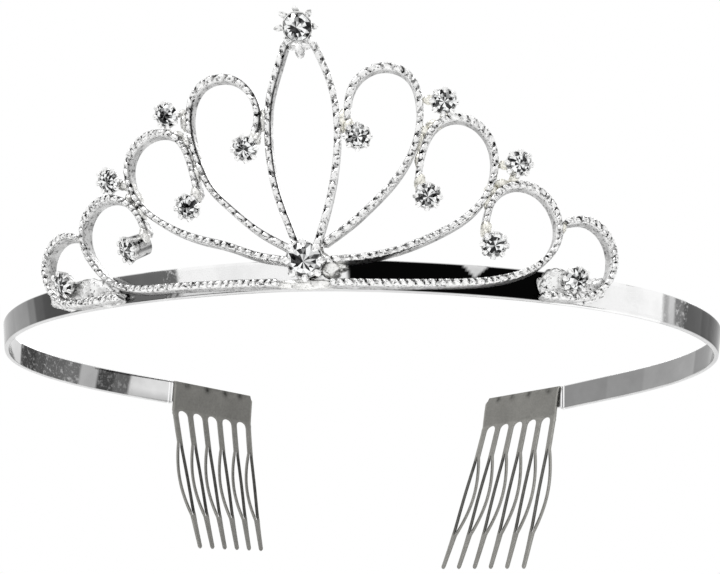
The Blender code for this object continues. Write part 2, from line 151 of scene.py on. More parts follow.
# %% The Value class
class Value:
    """One output socket of a material's nodes, with arithmetic."""

    def __init__(self, tree, socket):
        self.tree = tree
        self.socket = socket

    def node(self, kind, settings=None, **inputs):
        """Adds a node: its settings first, then its sockets by name (or _0, _1 by number)."""
        made = self.tree.nodes.new(kind)
        for name, value in (settings or {}).items():
            setattr(made, name, value)
        for name, value in inputs.items():
            key = int(name[1:]) if name[0] == "_" else name.replace("_", " ")
            socket = made.inputs[key]
            if isinstance(value, Value):
                self.tree.links.new(value.socket, socket)
            else:
                socket.default_value = value
        return made

    def math(self, operation, *others, swap=False):
        """A Math node on this value and the others, which come first where swap is set."""
        operands = [*others, self] if swap else [self, *others]
        sockets = {f"_{i}": operand for i, operand in enumerate(operands)}
        made = self.node("ShaderNodeMath", {"operation": operation}, **sockets)
        return Value(self.tree, made.outputs[0])

    def __add__(self, other):
        return self.math("ADD", other)

    def __radd__(self, other):
        return self.math("ADD", other)

    def __mul__(self, other):
        return self.math("MULTIPLY", other)

    def __rmul__(self, other):
        return self.math("MULTIPLY", other)

    def __sub__(self, other):
        return self.math("SUBTRACT", other)

    def __rsub__(self, other):
        return self.math("SUBTRACT", other, swap=True)

    def clamped(self):
        return self.math("MAXIMUM", 0.0).math("MINIMUM", 1.0)

    def between(self, low, high):
        """0 below low, 1 above high, and a smooth step from one to the other."""
        settings = {"interpolation_type": "SMOOTHSTEP"}
        made = self.node("ShaderNodeMapRange", settings, Value=self, From_Min=low, From_Max=high)
        return Value(self.tree, made.outputs[0])

    def tint(self, dark, light):
        """The colour that goes from dark at 0 to light at 1."""
        ends = {"_6": (*dark, 1.0), "_7": (*light, 1.0)}
        made = self.node("ShaderNodeMix", {"data_type": "RGBA"}, _0=self, **ends)
        return Value(self.tree, made.outputs[2])


class Finish:
    """A material with its Principled shader, and the patterns that its finish is mixed from."""

    def __init__(self, name, **numbers):
        self.material = bpy.data.materials.new(name)
        self.material.use_nodes = True
        self.tree = self.material.node_tree
        self.shader = self.tree.nodes["Principled BSDF"]
        for socket, number in numbers.items():
            self.shader.inputs[socket.replace("_", " ")].default_value = number
        place = self.tree.nodes.new("ShaderNodeTexCoord")
        self.place = Value(self.tree, place.outputs["Object"])

    def drive(self, **links):
        for socket, value in links.items():
            self.tree.links.new(value.socket, self.shader.inputs[socket.replace("_", " ")])

    def painted(self, name):
        """A number stored on the mesh's points."""
        made = self.tree.nodes.new("ShaderNodeAttribute")
        made.attribute_name = name
        return Value(self.tree, made.outputs["Fac"])

    def grain(self, per_metre, detail=3.0, roughness=0.6):
        """Noise of that many lumps per metre, about 0.5 on average."""
        sockets = {"Scale": per_metre, "Detail": detail, "Roughness": roughness}
        made = self.place.node("ShaderNodeTexNoise", None, Vector=self.place, **sockets)
        return Value(self.tree, made.outputs["Fac"])

    def bump(self, height, depth):
        """Relief of that many metres for a height that goes from 0 to 1."""
        made = height.node("ShaderNodeBump", None, Height=height, Distance=depth, Strength=1.0)
        self.drive(Normal=Value(self.tree, made.outputs[0]))


print("shader shorthand ready")

# %% [markdown]
# ## The finishes
# Silver plate over a polished strip is close to a mirror, so what shows on it is mostly the room:
# a white room with darker things in it, partly reflected for real and partly painted as reflection.
# The strip itself adds faint rolling lines and a cloudy bloom. Where the millwheel has bitten the
# crown's strip, the nicks get a painted shade, because their walls only see each other. Each finish
# reads numbers painted on the mesh, so a piece can say where it is milled, where it is dull and
# where painted light and shade make it brighter or darker.

# %% Mirror plate of the headband
mirror = Finish("mirror plate", Metallic=1.0)
cloud = mirror.grain(130.0)
speckle = mirror.grain(900.0, 2.0)
# painted reflection: the tone holds the light and dark stretches of the room, painted along the strip
tone = mirror.painted("tone")
wear = mirror.painted("wear")
scratches = speckle.between(0.54, 0.66) * 0.6 + mirror.grain(2600.0, 1.0).between(0.55, 0.7) * 0.3
reflection_and_scratches = (tone * (1.0 + (cloud - 0.5) * 0.5) + scratches * wear * (0.62 - tone)).clamped()
mirror.drive(Base_Color=reflection_and_scratches.tint((0.002, 0.002, 0.002), (0.95, 0.95, 0.95)))
mirror.drive(Roughness=(0.07 + cloud * 0.08 + wear * 0.22).clamped())
mirror.bump(mirror.grain(500.0, 3.0), 0.00002)
print(mirror.material.name, len(mirror.tree.nodes), "nodes")

# %% Milled plate of the crown
milled = Finish("milled plate", Metallic=1.0)
nick_shade = milled.painted("nick_shade")
chamfer_reflection = milled.painted("chamfer_reflection")
flank = milled.painted("flank")
pits = milled.grain(1900.0, 2.0)
streaks = milled.grain(420.0, 3.0)
# painted shade darkens the nicks; on the next line a painted reflection darkens the chamfer
bright = 0.95 - (nick_shade * (0.9 + pits * 0.5)).clamped() * 0.95
bright = bright * (1.0 - chamfer_reflection * 0.96) * (1.0 - flank * (0.42 + (streaks - 0.5) * 0.9))
bright = (bright - pits.between(0.54, 0.64) * (0.75 - flank * 0.45)).clamped()
milled.drive(Base_Color=bright.tint((0.003, 0.003, 0.003), (0.97, 0.97, 0.965)))
milled.drive(Roughness=(0.14 + flank * 0.2 + pits * 0.12).clamped())
milled.bump(milled.grain(1300.0, 3.0), 0.00007)
print(milled.material.name, len(milled.tree.nodes), "nodes")

# %% Cast plate of the cups
cast = Finish("cast plate", Metallic=1.0)
lumps = cast.grain(700.0, 3.0)
# darker low down on the cup and between the claws
tarnish = cast.painted("tarnish")
cast_shade = (0.95 - tarnish * (0.55 + lumps * 0.6) - lumps.between(0.56, 0.68) * 0.5).clamped()
cast.drive(Base_Color=cast_shade.tint((0.005, 0.005, 0.005), (0.98, 0.98, 0.975)))
cast.drive(Roughness=(0.14 + lumps * 0.22).clamped())
cast.bump(cast.grain(1000.0, 3.0), 0.00006)
print(cast.material.name, len(cast.tree.nodes), "nodes")

# %% Solder
solder = Finish("solder", Metallic=1.0)
puddle = solder.grain(480.0, 4.0)
gold = solder.painted("gold")
crack = solder.painted("crack")
pores = solder.grain(1500.0, 3.0)
puddled = puddle.between(0.45, 0.7) * (0.25 + crack * 0.25)
pored = pores.between(0.55, 0.68) * (0.3 + crack * 0.5)
stain = (0.95 - puddled - pored).clamped()
plain = stain.tint((0.05, 0.05, 0.05), (0.98, 0.98, 0.975))
yellow = stain.tint((0.06, 0.05, 0.02), (0.97, 0.94, 0.8))
blend = solder.place.node("ShaderNodeMix", {"data_type": "RGBA"}, _0=gold, _6=plain, _7=yellow)
solder.drive(Base_Color=Value(solder.tree, blend.outputs[2]))
solder.drive(Roughness=(0.2 + puddle * 0.25).clamped())
solder.bump(solder.grain(800.0, 4.0), 0.0002)
print(solder.material.name, len(solder.tree.nodes), "nodes")

# %% Dull steel of the combs
dull = Finish("comb steel", Metallic=0.85)
fine = dull.grain(2200.0, 3.0)
patch = dull.grain(220.0)
bruise = dull.painted("bruise")
edge_wear = dull.painted("edge")
# the edge numbers are painted highlights on the edges and front branches, and painted shade on the rear
# branches and over the whole left comb
steel = (0.62 + (fine - 0.5) * 0.3 + (patch - 0.5) * 0.3 + edge_wear * 0.45 - bruise * 0.5).clamped()
dull.drive(Base_Color=steel.tint((0.01, 0.01, 0.009), (0.34, 0.335, 0.313)))
dull.drive(Roughness=(0.38 + (fine - 0.5) * 0.25 + bruise * 0.15).clamped())
dull.bump(fine * 0.35 + (1.0 - bruise), 0.0001)
print(dull.material.name, len(dull.tree.nodes), "nodes")

# %% Cut crystal
crystal = Finish("cut crystal", Metallic=0.85, Coat_Weight=0.35, Coat_Roughness=0.02)
facet = crystal.painted("facet")
fleck = crystal.grain(1800.0, 1.0)
# painted reflection: each facet's tone stands for what it happens to face
painted_facet_reflection = (facet + (fleck - 0.5) * 0.2 * (1.0 - facet)).clamped()
crystal.drive(Base_Color=painted_facet_reflection.tint((0.003, 0.003, 0.004), (0.97, 0.98, 0.98)))
crystal.drive(Roughness=(0.05 + fleck * 0.05).clamped())
print("finishes:", ", ".join(sorted(material.name for material in bpy.data.materials)))

# %% [markdown]
# ## Two ways to make a surface
# Nearly all of a tiara is strip, sheet or drop. A strip is a skin stretched over a row of
# cross-sections, which the helper below makes. A sheet is a grid with some cells cut away, which
# a Solidify modifier thickens: only the combs need one. Another helper stores the numbers that the
# finishes read, and a third gives a mesh its finish and puts it in place of its solid.

# %% Skins and sheets
def finished(name, mesh, finish, node=None, smooth=35.0):
    """Makes an object of a mesh, gives it its finish and lets it stand for its solid."""
    made = bpy.data.objects.new(name, mesh)
    bpy.context.scene.collection.objects.link(made)
    mesh.materials.append(finish.material)
    mesh.shade_smooth()
    mesh.set_sharp_from_angle(angle=math.radians(smooth))
    if node:
        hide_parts(node)
    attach(made, "root")
    return made


def paint(mesh, **numbers):
    """Stores numbers on the mesh's points, one array or one number for each name."""
    for name, values in numbers.items():
        layer = mesh.attributes.new(name, "FLOAT", "POINT")
        values = np.broadcast_to(np.asarray(values, np.float32).ravel(), len(mesh.vertices))
        layer.data.foreach_set("value", np.ascontiguousarray(values))


def skin(name, sections):
    """A closed skin over cross-sections: an array of rows, points around, and 3."""
    rows, around, _ = sections.shape
    index = np.arange(rows * around).reshape(rows, around)
    ahead = np.roll(index, -1, axis=1)
    faces = np.stack([index[:-1], ahead[:-1], ahead[1:], index[1:]], axis=-1).reshape(-1, 4).tolist()
    faces += [index[0, ::-1].tolist(), index[-1].tolist()]
    mesh = bpy.data.meshes.new(name)
    mesh.from_pydata(sections.reshape(-1, 3).tolist(), [], faces)
    tidy = bmesh.new()
    tidy.from_mesh(mesh)
    bmesh.ops.recalc_face_normals(tidy, faces=tidy.faces)
    tidy.to_mesh(mesh)
    tidy.free()
    return mesh


print("mesh helpers ready")

# %% [markdown]
# ## The headband
# The strip is rolled flat with rounded edges and bent into an open U. Its section is a rounded
# bar, 5.2 by 0.9 mm, swept along the plan. Inside each comb's fold it is a little narrower.
# A mirror this clean shows hard-edged stretches of light and dark, one for each thing around it,
# so the skin carries a painted reflection tone for each stretch, for the outer and the inner face
# apart. The rims get a painted highlight, because their round edges see the whole room. Two narrow
# bright rings, a little proud of the strip, stand just before each comb.

# %% Painted reflection tones along the headband
# (start, tone) of the painted reflection, in millimetres along the headband, each stretch running on to
# the next start
OUTER_PAINTED_REFLECTIONS = (
    (-200.0, 0.2), (-74.5, 0.24), (-68.5, 0.275), (-62.0, 0.19), (-59.5, 0.09), (-56.6, 0.07),
    (-43.0, 0.14), (-24.2, 0.97), (7.0, 0.0), (42.0, 0.97), (65.0, 0.4), (66.4, 0.6),
    (68.0, 0.2), (70.5, 0.1), (76.5, 0.06), (79.5, 0.035),
)
INNER_PAINTED_REFLECTIONS = (
    (-200.0, 0.74), (-123.2, 0.13), (-119.5, 0.06), (-115.4, 0.44), (-111.0, 0.16), (-107.0, 0.13),
    (-101.5, 0.08), (-98.5, 0.04), (-95.5, 0.025), (-92.9, 0.64), (-84.0, 0.28), (60.0, 0.3),
    (97.0, 0.25), (104.0, 0.36), (120.0, 0.31), (130.0, 0.27),
)
# (from, to, how worn): scratched and cloudy patches
WORN_STRETCHES = (
    (-124.0, -115.4, 0.35), (-111.0, -101.0, 0.75), (-101.0, -93.0, 0.45), (-27.2, -23.4, 1.0),
    (64.6, 71.5, 1.0),
)
TONE_SLANT = 0.12  # shift of a stretch's start for each unit of height
TONE_STEP = 0.6  # length over which one tone turns into the next
# painted highlight on the rounded rims: the least tone they take
RIM_HIGHLIGHT_TONE = 0.72


def painted_reflection_tone(s, z, stretches):
    """The painted reflection tone at each place, with a soft step at every start and a slight slant
    across the strip.
    """
    tones = np.full(s.shape, stretches[0][1])
    for start, value in stretches[1:]:
        share = np.clip((s + TONE_SLANT * z - start) / TONE_STEP + 0.5, 0, 1)
        tones = tones * (1 - share) + value * share
    return tones


print("stretches outside and inside:", len(OUTER_PAINTED_REFLECTIONS), len(INNER_PAINTED_REFLECTIONS))

# %% The headband's section
EDGE = 0.28  # radius of the strip's rounded edges
CORNER_ANGLES = np.radians(np.array([0.0, 30.0, 60.0, 90.0]))
FACE_STEPS = 9
TONGUE_DROP = 0.5  # how much narrower the strip is, at each edge, inside a comb's fold


def bar_section():
    """The rounded bar's outline as (height, out) from its middle, its faces cut into steps."""
    high, deep = BAND_HEIGHT / 2 - EDGE, BAND_THICKNESS / 2 - EDGE
    outline = []
    for up, ahead, first in ((1, 1, 0.0), (1, -1, 90.0), (-1, -1, 180.0), (-1, 1, 270.0)):
        for angle in CORNER_ANGLES + math.radians(first):
            outline.append((up * high + EDGE * math.sin(angle), ahead * deep + EDGE * math.cos(angle)))
    outline = np.array(outline)
    points = []
    for first, last in zip(outline, np.roll(outline, -1, axis=0)):
        steps = FACE_STEPS if abs(first[0] - last[0]) > BAND_HEIGHT / 3 else 1
        points += [first + (last - first) * i / steps for i in range(steps)]
    return np.array(points)


bar = bar_section()
print("points around the strip:", len(bar))


# %% Sweep the headband
BAND_STEP = 0.3
TONGUE_END = COMB_LENGTH - 0.1  # the strip stops just short of the end of the comb's fold
SHOULDER = (-0.02, 0.1)  # from the fold's start: where it is narrow and where it is full again


def band_stations():
    """Distances along the headband of its cross-sections, from the left end to the right."""
    left, right = -COMB_START["left"], COMB_START["right"]
    narrow, full = SHOULDER
    open_stretch = np.arange(left + full, right - full, BAND_STEP)
    left_tongue = [left - TONGUE_END, left + narrow]
    right_tongue = [right - narrow, right + TONGUE_END]
    return np.concatenate([left_tongue, open_stretch, right_tongue])


def band_painted_reflection(s, z):
    """The painted reflection tone all over the strip, with a painted highlight in a wedge, painted
    shade low down in two places and painted highlights on the rims.
    """
    outer = painted_reflection_tone(s, z, OUTER_PAINTED_REFLECTIONS)
    inner = painted_reflection_tone(s, z, INNER_PAINTED_REFLECTIONS)
    # painted highlight: a small bright wedge at the top edge on the right, where the dark painted
    # reflection breaks
    highlight_wedge = np.clip((z - 0.2 - 0.95 * np.abs(s - 28.8)) / 0.4, 0, 1)
    outer = outer + highlight_wedge * (0.7 - outer)
    # painted shade: the left of the front and the far end of the left arm darken towards the lower edge
    outer = outer * (1.0 - 0.28 * np.clip((-0.7 - z) / 0.6, 0, 1) * (s > -24.0) * (s < 7.0))
    inner = inner * (1.0 - 0.3 * np.clip((-0.4 - z) / 1.6, 0, 1) * (s < -123.0))
    tones = np.where(bar[None, :, 1] > 0, outer, inner)
    on_flat = np.abs(bar[:, 0]) < BAND_HEIGHT / 2 - EDGE + 0.01
    # painted highlight: the rounded rims are kept light
    return np.where(on_flat[None, :], tones, np.maximum(tones, RIM_HIGHLIGHT_TONE))


stations = band_stations()
in_fold = (stations < -COMB_START["left"]) | (stations > COMB_START["right"])
squeeze = np.where(in_fold, 1 - 2 * TONGUE_DROP / BAND_HEIGHT, 1.0)
band_z = bar[None, :, 0] * squeeze[:, None]
band_s = np.broadcast_to(stations[:, None], band_z.shape)
band_mesh = skin("headband", on_face(band_s, band_z, bar[None, :, 1] - BAND_THICKNESS / 2))
worn = sum(amount * ((band_s > low) & (band_s < high)) for low, high, amount in WORN_STRETCHES)
paint(band_mesh, tone=band_painted_reflection(band_s, band_z), wear=np.clip(worn, 0, 1))
finished("headband_strip", band_mesh, mirror, "headband")
print("headband:", len(band_mesh.vertices), "points")


# %% Bright rings beside the combs
RING_GAPS = (0.25, 0.95)  # from the comb to the middle of each ring
RING_EDGES = np.array([-0.24, -0.18, 0.1, 0.16])
RING_SWELL = np.array([0.0, 0.07, 0.07, 0.0])[:, None]


def bright_ring(side, number):
    """A thin swelling all round the strip, as bright as polish can be."""
    s = SIDES[side] * (COMB_START[side] - RING_GAPS[number] + RING_EDGES)
    z = bar[None, :, 0] * (1 + RING_SWELL * 0.3)
    out = bar[None, :, 1] * (1 + RING_SWELL * 3.0) - BAND_THICKNESS / 2
    ring = skin("ring", on_face(np.broadcast_to(s[:, None], z.shape), z, out))
    paint(ring, tone=1.0, wear=0.0)
    finished(f"bright_ring_{side}_{number}", ring, mirror)


for side in SIDES:
    for number in range(len(RING_GAPS)):
        bright_ring(side, number)
print("rings:", len(SIDES) * len(RING_GAPS))

# %% [markdown]
# ## The crown's strips
# Each wire of the crown is strip on edge: thin across, a few millimetres deep, with the front
# edge run through a millwheel that leaves a row of beads parted by slanted nicks. A bead is modelled,
# not painted, because its shine makes the sparkle: the section's front points sink at each nick,
# and sink further on one side, which gives the nicks their slant; the nicks also get a painted shade.
# A polished chamfer runs beside the beads on some wires; where it looks up to the right it carries
# a painted reflection of the dark side of the room.

# %% Routes of the strips
CROWN_SHIFT = -0.9
STRIP_THICKNESS = 1.1
STRIP_NEAR = 0.15
STRIP_DEPTHS = {
    "centre_leaf": 1.75, "inner_arch": 1.95, "middle_arch": 2.35, "outer_arch": 2.6,
    "end_scroll": 2.85,
}
BEAD_PITCHES = {
    "centre_leaf": 2.3, "inner_arch": 1.9, "middle_arch": 1.55, "outer_arch": 1.3,
    "end_scroll": 1.35,
}
ROUTES = {
    "left": {
        "centre_leaf": (
            (1.0, 5.2), (2.4, 8.8), (4.0, 13.5), (4.9, 18.0), (5.3, 23.8), (4.9, 29.4),
            (3.7, 34.0), (2.5, 38.0),
        ),
        "inner_arch": (
            (2.9, 4.5), (7.0, 6.9), (12.0, 11.1), (15.6, 15.0), (17.3, 18.5), (18.5, 22.2),
            (19.1, 26.0), (18.6, 30.0), (16.6, 32.8), (13.8, 33.7), (10.9, 33.1), (8.6, 31.1),
            (7.2, 28.3), (7.0, 26.0), (7.5, 23.6),
        ),
        "middle_arch": (
            (3.2, 2.0), (7.5, 2.9), (12.5, 4.8), (18.0, 6.5), (24.0, 9.3), (28.5, 12.8),
            (31.0, 16.8), (31.4, 20.8), (29.5, 24.1), (26.0, 25.6), (22.7, 25.0), (20.2, 22.5),
            (18.9, 19.0), (18.0, 15.0),
        ),
        "outer_arch": (
            (4.0, -1.85), (14.0, -1.6), (25.0, -1.25), (31.5, -0.8), (35.8, 0.7), (39.2, 3.8),
            (41.6, 8.0), (41.4, 12.1), (38.9, 14.9), (35.3, 15.6), (31.9, 14.2), (29.6, 11.7),
            (28.5, 9.3),
        ),
        "end_scroll": (
            (43.3, 9.9), (46.4, 10.5), (49.4, 9.4), (51.3, 6.8), (51.5, 4.0), (50.2, 1.0),
            (47.6, -1.2), (43.5, -1.9), (34.6, -2.05),
        ),
    },
    "right": {
        "centre_leaf": (
            (3.1, 5.6), (4.1, 9.0), (5.3, 14.5), (5.9, 20.0), (5.9, 24.5), (5.2, 29.7),
            (4.0, 33.7), (2.1, 38.2),
        ),
        "inner_arch": (
            (4.9, 5.3), (8.6, 8.1), (12.4, 11.8), (15.5, 15.5), (17.8, 19.7), (18.9, 24.0),
            (18.8, 29.0), (17.1, 32.9), (14.0, 34.4), (10.9, 33.8), (8.7, 31.8), (7.6, 28.9),
            (7.6, 25.2),
        ),
        "middle_arch": (
            (5.2, 1.85), (11.5, 2.5), (17.5, 4.2), (23.5, 7.1), (28.4, 10.7), (30.9, 14.5),
            (31.7, 18.8), (30.7, 22.9), (28.0, 25.7), (24.6, 26.3), (21.6, 24.6), (19.9, 21.0),
            (19.2, 16.2),
        ),
        "outer_arch": (
            (5.6, -1.9), (14.0, -1.85), (24.0, -1.4), (32.0, -0.5), (37.7, 1.3), (41.4, 4.0),
            (43.2, 8.0), (42.3, 12.0), (39.4, 15.1), (36.0, 15.9), (33.1, 14.7), (31.4, 12.2),
            (30.7, 8.8),
        ),
        "end_scroll": (
            (44.7, 10.7), (47.7, 11.3), (50.7, 10.1), (52.8, 7.2), (53.3, 3.8), (52.2, 0.8),
            (49.5, -1.4), (46.0, -2.0), (41.3, -2.05),
        ),
    },
}

print("routes on each side:", {side: len(routes) for side, routes in ROUTES.items()})

# %% The strip's section and where it ends
STRIP_STEP = 0.13
ROUTE_POINTS = 500
HEADING_POINTS = 6  # points of the route over which its heading at an end is taken
NICK_DEPTH = 0.32
NICK_SLANT = 0.75
# how far each strip runs on into the solder at its start and at its end
STRIP_REACH = {
    "centre_leaf": (1.9, 0.5), "inner_arch": (1.4, 1.3), "middle_arch": (1.2, 1.2),
    "outer_arch": (0.6, 1.0), "end_scroll": (0.9, 0.4),
}
# painted reflection: how dark the polished chamfer is painted where it looks up to the right
DARK_CHAMFER_REFLECTIONS = {
    ("centre_leaf", "left"): 1.0, ("inner_arch", "left"): 1.0, ("middle_arch", "left"): 0.6,
    ("outer_arch", "left"): 0.5, ("outer_arch", "right"): 0.3,
}
# (across, depth) from the headband's face to the beads, as shares of the thickness and depth
half_section = np.array(
    [(-0.5, 0.0), (-0.5, 0.5), (-0.5, 0.82), (-0.42, 0.92), (-0.22, 0.985), (0.0, 1.0)]
)
STRIP_SECTION = np.concatenate([half_section, half_section[-2::-1] * (-1, 1)])


def strip_route(name, side):
    """The strip's middle line as (s, z), evenly spaced, with both ends run on into the solder."""
    line = smooth_line(ROUTES[side][name], ROUTE_POINTS)
    start_reach, end_reach = STRIP_REACH[name]
    start = line[0] + unit(line[0] - line[HEADING_POINTS]) * start_reach
    end = line[-1] + unit(line[-1] - line[-1 - HEADING_POINTS]) * end_reach
    route = evenly_spaced(np.concatenate([[start], line, [end]]), STRIP_STEP)
    return route * (SIDES[side], 1) + (CROWN_SHIFT, 0)


print("points in the strip's section:", len(STRIP_SECTION))


# %% Mill and bend the strips
def strip_finish(name, side, length, facing, sunk):
    """What the finish reads: the painted shade in the nicks, the painted reflection on the chamfer, and
    where the flank is.
    """
    width, depth = STRIP_SECTION.T
    up_right = np.clip(facing @ np.array((0.77, 0.64)), 0, 1)
    on_chamfer = ((depth > 0.75) & (depth < 0.97))[None, :] * (np.abs(width) > 0.3)[None, :]
    # painted reflection: the chamfer is painted dark where it looks up to the right
    chamfer_reflection = DARK_CHAMFER_REFLECTIONS.get((name, side), 0.0) * on_chamfer * np.clip((up_right - 0.35) * 4, 0, 1)
    flank = np.broadcast_to(1 - np.clip((depth - 0.5) / 0.35, 0, 1), sunk.shape)
    # painted shade in the nicks: full on the half that faces up, less on the other half
    shaded = 0.45 + 0.55 * (facing @ np.array((-0.3, 0.95)) > 0)
    quick_swing = np.sin(length * 2.9 + 1.3 * len(name))[:, None]
    uneven = 0.95 + 0.4 * quick_swing * np.sin(length * 0.83)[:, None]
    return {"nick_shade": np.clip(sunk * shaded * uneven, 0, 1), "chamfer_reflection": chamfer_reflection, "flank": flank}


def strip(name, side):
    """One milled strip, with its beads, on its route along the headband's face."""
    route = strip_route(name, side)
    length = along(route)
    heading = np.gradient(route, length, axis=0)
    heading /= np.linalg.norm(heading, axis=1)[:, None]
    across = np.stack([-heading[:, 1], heading[:, 0]], axis=1) * SIDES[side]
    width, depth = STRIP_SECTION.T
    front = np.clip((depth - 0.8) / 0.2, 0, 1)
    wobble = 0.12 * np.sin(length * 1.7 + len(name)) + 0.08 * np.sin(length * 4.3)
    phase = ((length + wobble)[:, None] + NICK_SLANT * width[None, :]) / BEAD_PITCHES[name]
    bite = np.clip(1.5 - np.abs(np.sin(math.pi * phase)) / 0.42, 0, 1)
    sunk = bite * front[None, :]
    end_taper = np.clip(np.minimum(length, length[-1] - length) / 0.5, 0.35, 1.0)[:, None]
    aside = width[None, :] * STRIP_THICKNESS * (1 + 0.08 * front * (1 - bite))
    aside = aside * (1 - 0.18 * sunk) * end_taper
    out = STRIP_NEAR + depth[None, :] * (STRIP_DEPTHS[name] + 0.1) - NICK_DEPTH * sunk
    s = route[:, :1] + across[:, :1] * aside
    z = route[:, 1:] + across[:, 1:] * aside
    mesh = skin(f"{name}_{side}", on_face(s, z, out))
    facing = across[:, None, :] * np.sign(width)[None, :, None]
    paint(mesh, **strip_finish(name, side, length, facing, sunk))
    finished(f"{name}_strip_{side}", mesh, milled, f"{name}_{side}", 50.0)


for side in SIDES:
    for name in STRIP_DEPTHS:
        strip(name, side)
print("strips:", 2 * len(STRIP_DEPTHS))

# %% [markdown]
# ## The combs
# A comb is stamped from one sheet: a plate that folds over the headband, and below it six teeth,
# each split in two and with one half bowed forwards so that it grips the hair. The sheet is a grid
# whose columns follow the edges of the teeth. Cells that fall in a gap or a slit are left out, and
# Solidify and Bevel modifiers turn the rest into metal with soft edges. Four crimps along
# the fold hold the comb on the strip.

# %% Comb dimensions
COMB_SHEET = 0.45
COMB_FIT = 0.08
FLAP_DEPTH = 4.2
FOLD_CORNER = 0.22
GAP_TOP = -4.0
SLIT_TOP = -11.6
SLIT_END = {"left": -28.2, "right": -30.6}
TOOTH_TIP = {"left": -35.4, "right": -38.4}
TOOTH_SLANT = {"left": 0.1, "right": 3.3}
TOOTH_GATHER = {"left": 0.207, "right": -0.14}
SLANT_EASE = 0.6
TOOTH_SHORTENING = 0.04
TIP_WIDTH = 0.8
BRANCH_WIDTH = 0.55
SLIT_HALF_WIDTH = 0.5
REAR_SLIT_SHARE = -0.3
FRONT_BOW = 1.5
REAR_BOW = -0.5
TOOTH_LEAN = 0.22  # inward slope at the top of the teeth
TOOTH_CURVE = 3.0  # how much that slope grows for each metre of depth
CRIMPS = (3.0, 8.2, 12.6, 16.6)  # from the comb's start
CRIMP_HEIGHT = 1.9
CRIMP_SIZE = (0.55, 0.7)  # along the fold, and up
CORNER_CUT = 0.9  # taken off the fold's far corner
LEFT_COMB_SHADE = -0.22  # painted shade: the whole left comb is darker


def tooth_edges(side, depth):
    """Half the tooth's width and half its slit's width, at a depth below the gaps' tops."""
    neck = TOOTH_NECK / 2
    slit_start = GAP_TOP - SLIT_TOP
    slit_end = GAP_TOP - SLIT_END[side]
    if depth <= slit_start:
        shoulder = TOOTH_PITCH / 2 - neck
        rise = min(depth / shoulder, 1.0)
        gap = shoulder * (0.12 + 0.88 * math.sqrt(1.0 - (1.0 - rise) ** 2))
        return TOOTH_PITCH / 2 - gap, neck * 0.2
    if depth < slit_end:
        swell = math.sin(math.pi * (depth - slit_start) / (slit_end - slit_start))
        slit = SLIT_HALF_WIDTH * max(swell, 0.0) ** 0.6
        return max(neck, slit + BRANCH_WIDTH), max(slit, neck * 0.2)
    taper = (depth - slit_end) / (GAP_TOP - TOOTH_TIP[side] - slit_end)
    half_width = neck + (TIP_WIDTH / 2 - neck) * taper**0.7
    return half_width, half_width * 0.4


print("comb length in mm:", round(COMB_LENGTH, 2))

# %% Rows of a comb's sheet
FLAP_ROWS = 9
PLATE_ROWS = 14
SLIT_ROWS = 17
PLATE_ROW = FLAP_ROWS + 3  # the plate starts after the three rows of the fold
FOLD_MIDDLE = 10.5
BELOW_GAP_TOP = (0.06, 0.2, 0.45, 0.8, 1.3, 2.2, 3.6, 5.4)
BELOW_SLIT = (0.2, 0.5, 0.85, 0.95, 1.0)  # as shares of the way to the tips


def comb_rows(side):
    """The sheet's middle from the flap's edge over the fold to the tips: (out, z) for each row."""
    gap = COMB_FIT + COMB_SHEET / 2
    outer, inner = gap, -BAND_THICKNESS - gap
    top = BAND_HEIGHT / 2 - TONGUE_DROP + gap
    rows = [(outer, z) for z in np.linspace(top - FLAP_DEPTH, top - FOLD_CORNER, FLAP_ROWS)]
    middle = (outer + inner) / 2
    rows += [(outer - 0.07, top - 0.06), (middle, top), (inner + 0.07, top - 0.06)]
    rows += [(inner, z) for z in np.linspace(top - FOLD_CORNER, GAP_TOP, PLATE_ROWS)]
    slit_end, tip = SLIT_END[side], TOOTH_TIP[side]
    slit = [SLIT_TOP + (slit_end - SLIT_TOP) * part for part in np.linspace(0, 1, SLIT_ROWS)]
    below = [GAP_TOP - step for step in BELOW_GAP_TOP]
    tips = [slit_end + (tip - slit_end) * part for part in BELOW_SLIT]
    for z in (*below, *slit, *tips):
        depth = (GAP_TOP - z) * MM
        rows.append((inner - (TOOTH_LEAN * depth + TOOTH_CURVE * depth**2) / MM, z))
    return rows


FIRST_TOOTH_ROW = PLATE_ROW + PLATE_ROWS - 1
SLIT_START = FIRST_TOOTH_ROW + len(BELOW_GAP_TOP) + 1
SLIT_STOP = SLIT_START + SLIT_ROWS - 1
print("rows:", len(comb_rows("left")), "teeth from row", FIRST_TOOTH_ROW)


# %% Places across a row
EDGES = TOOTH_COUNT * 4  # a tooth's two branches have two edges each
COLUMNS = 2 * EDGES - 1  # with a column halfway between edges, so that each part can be curved


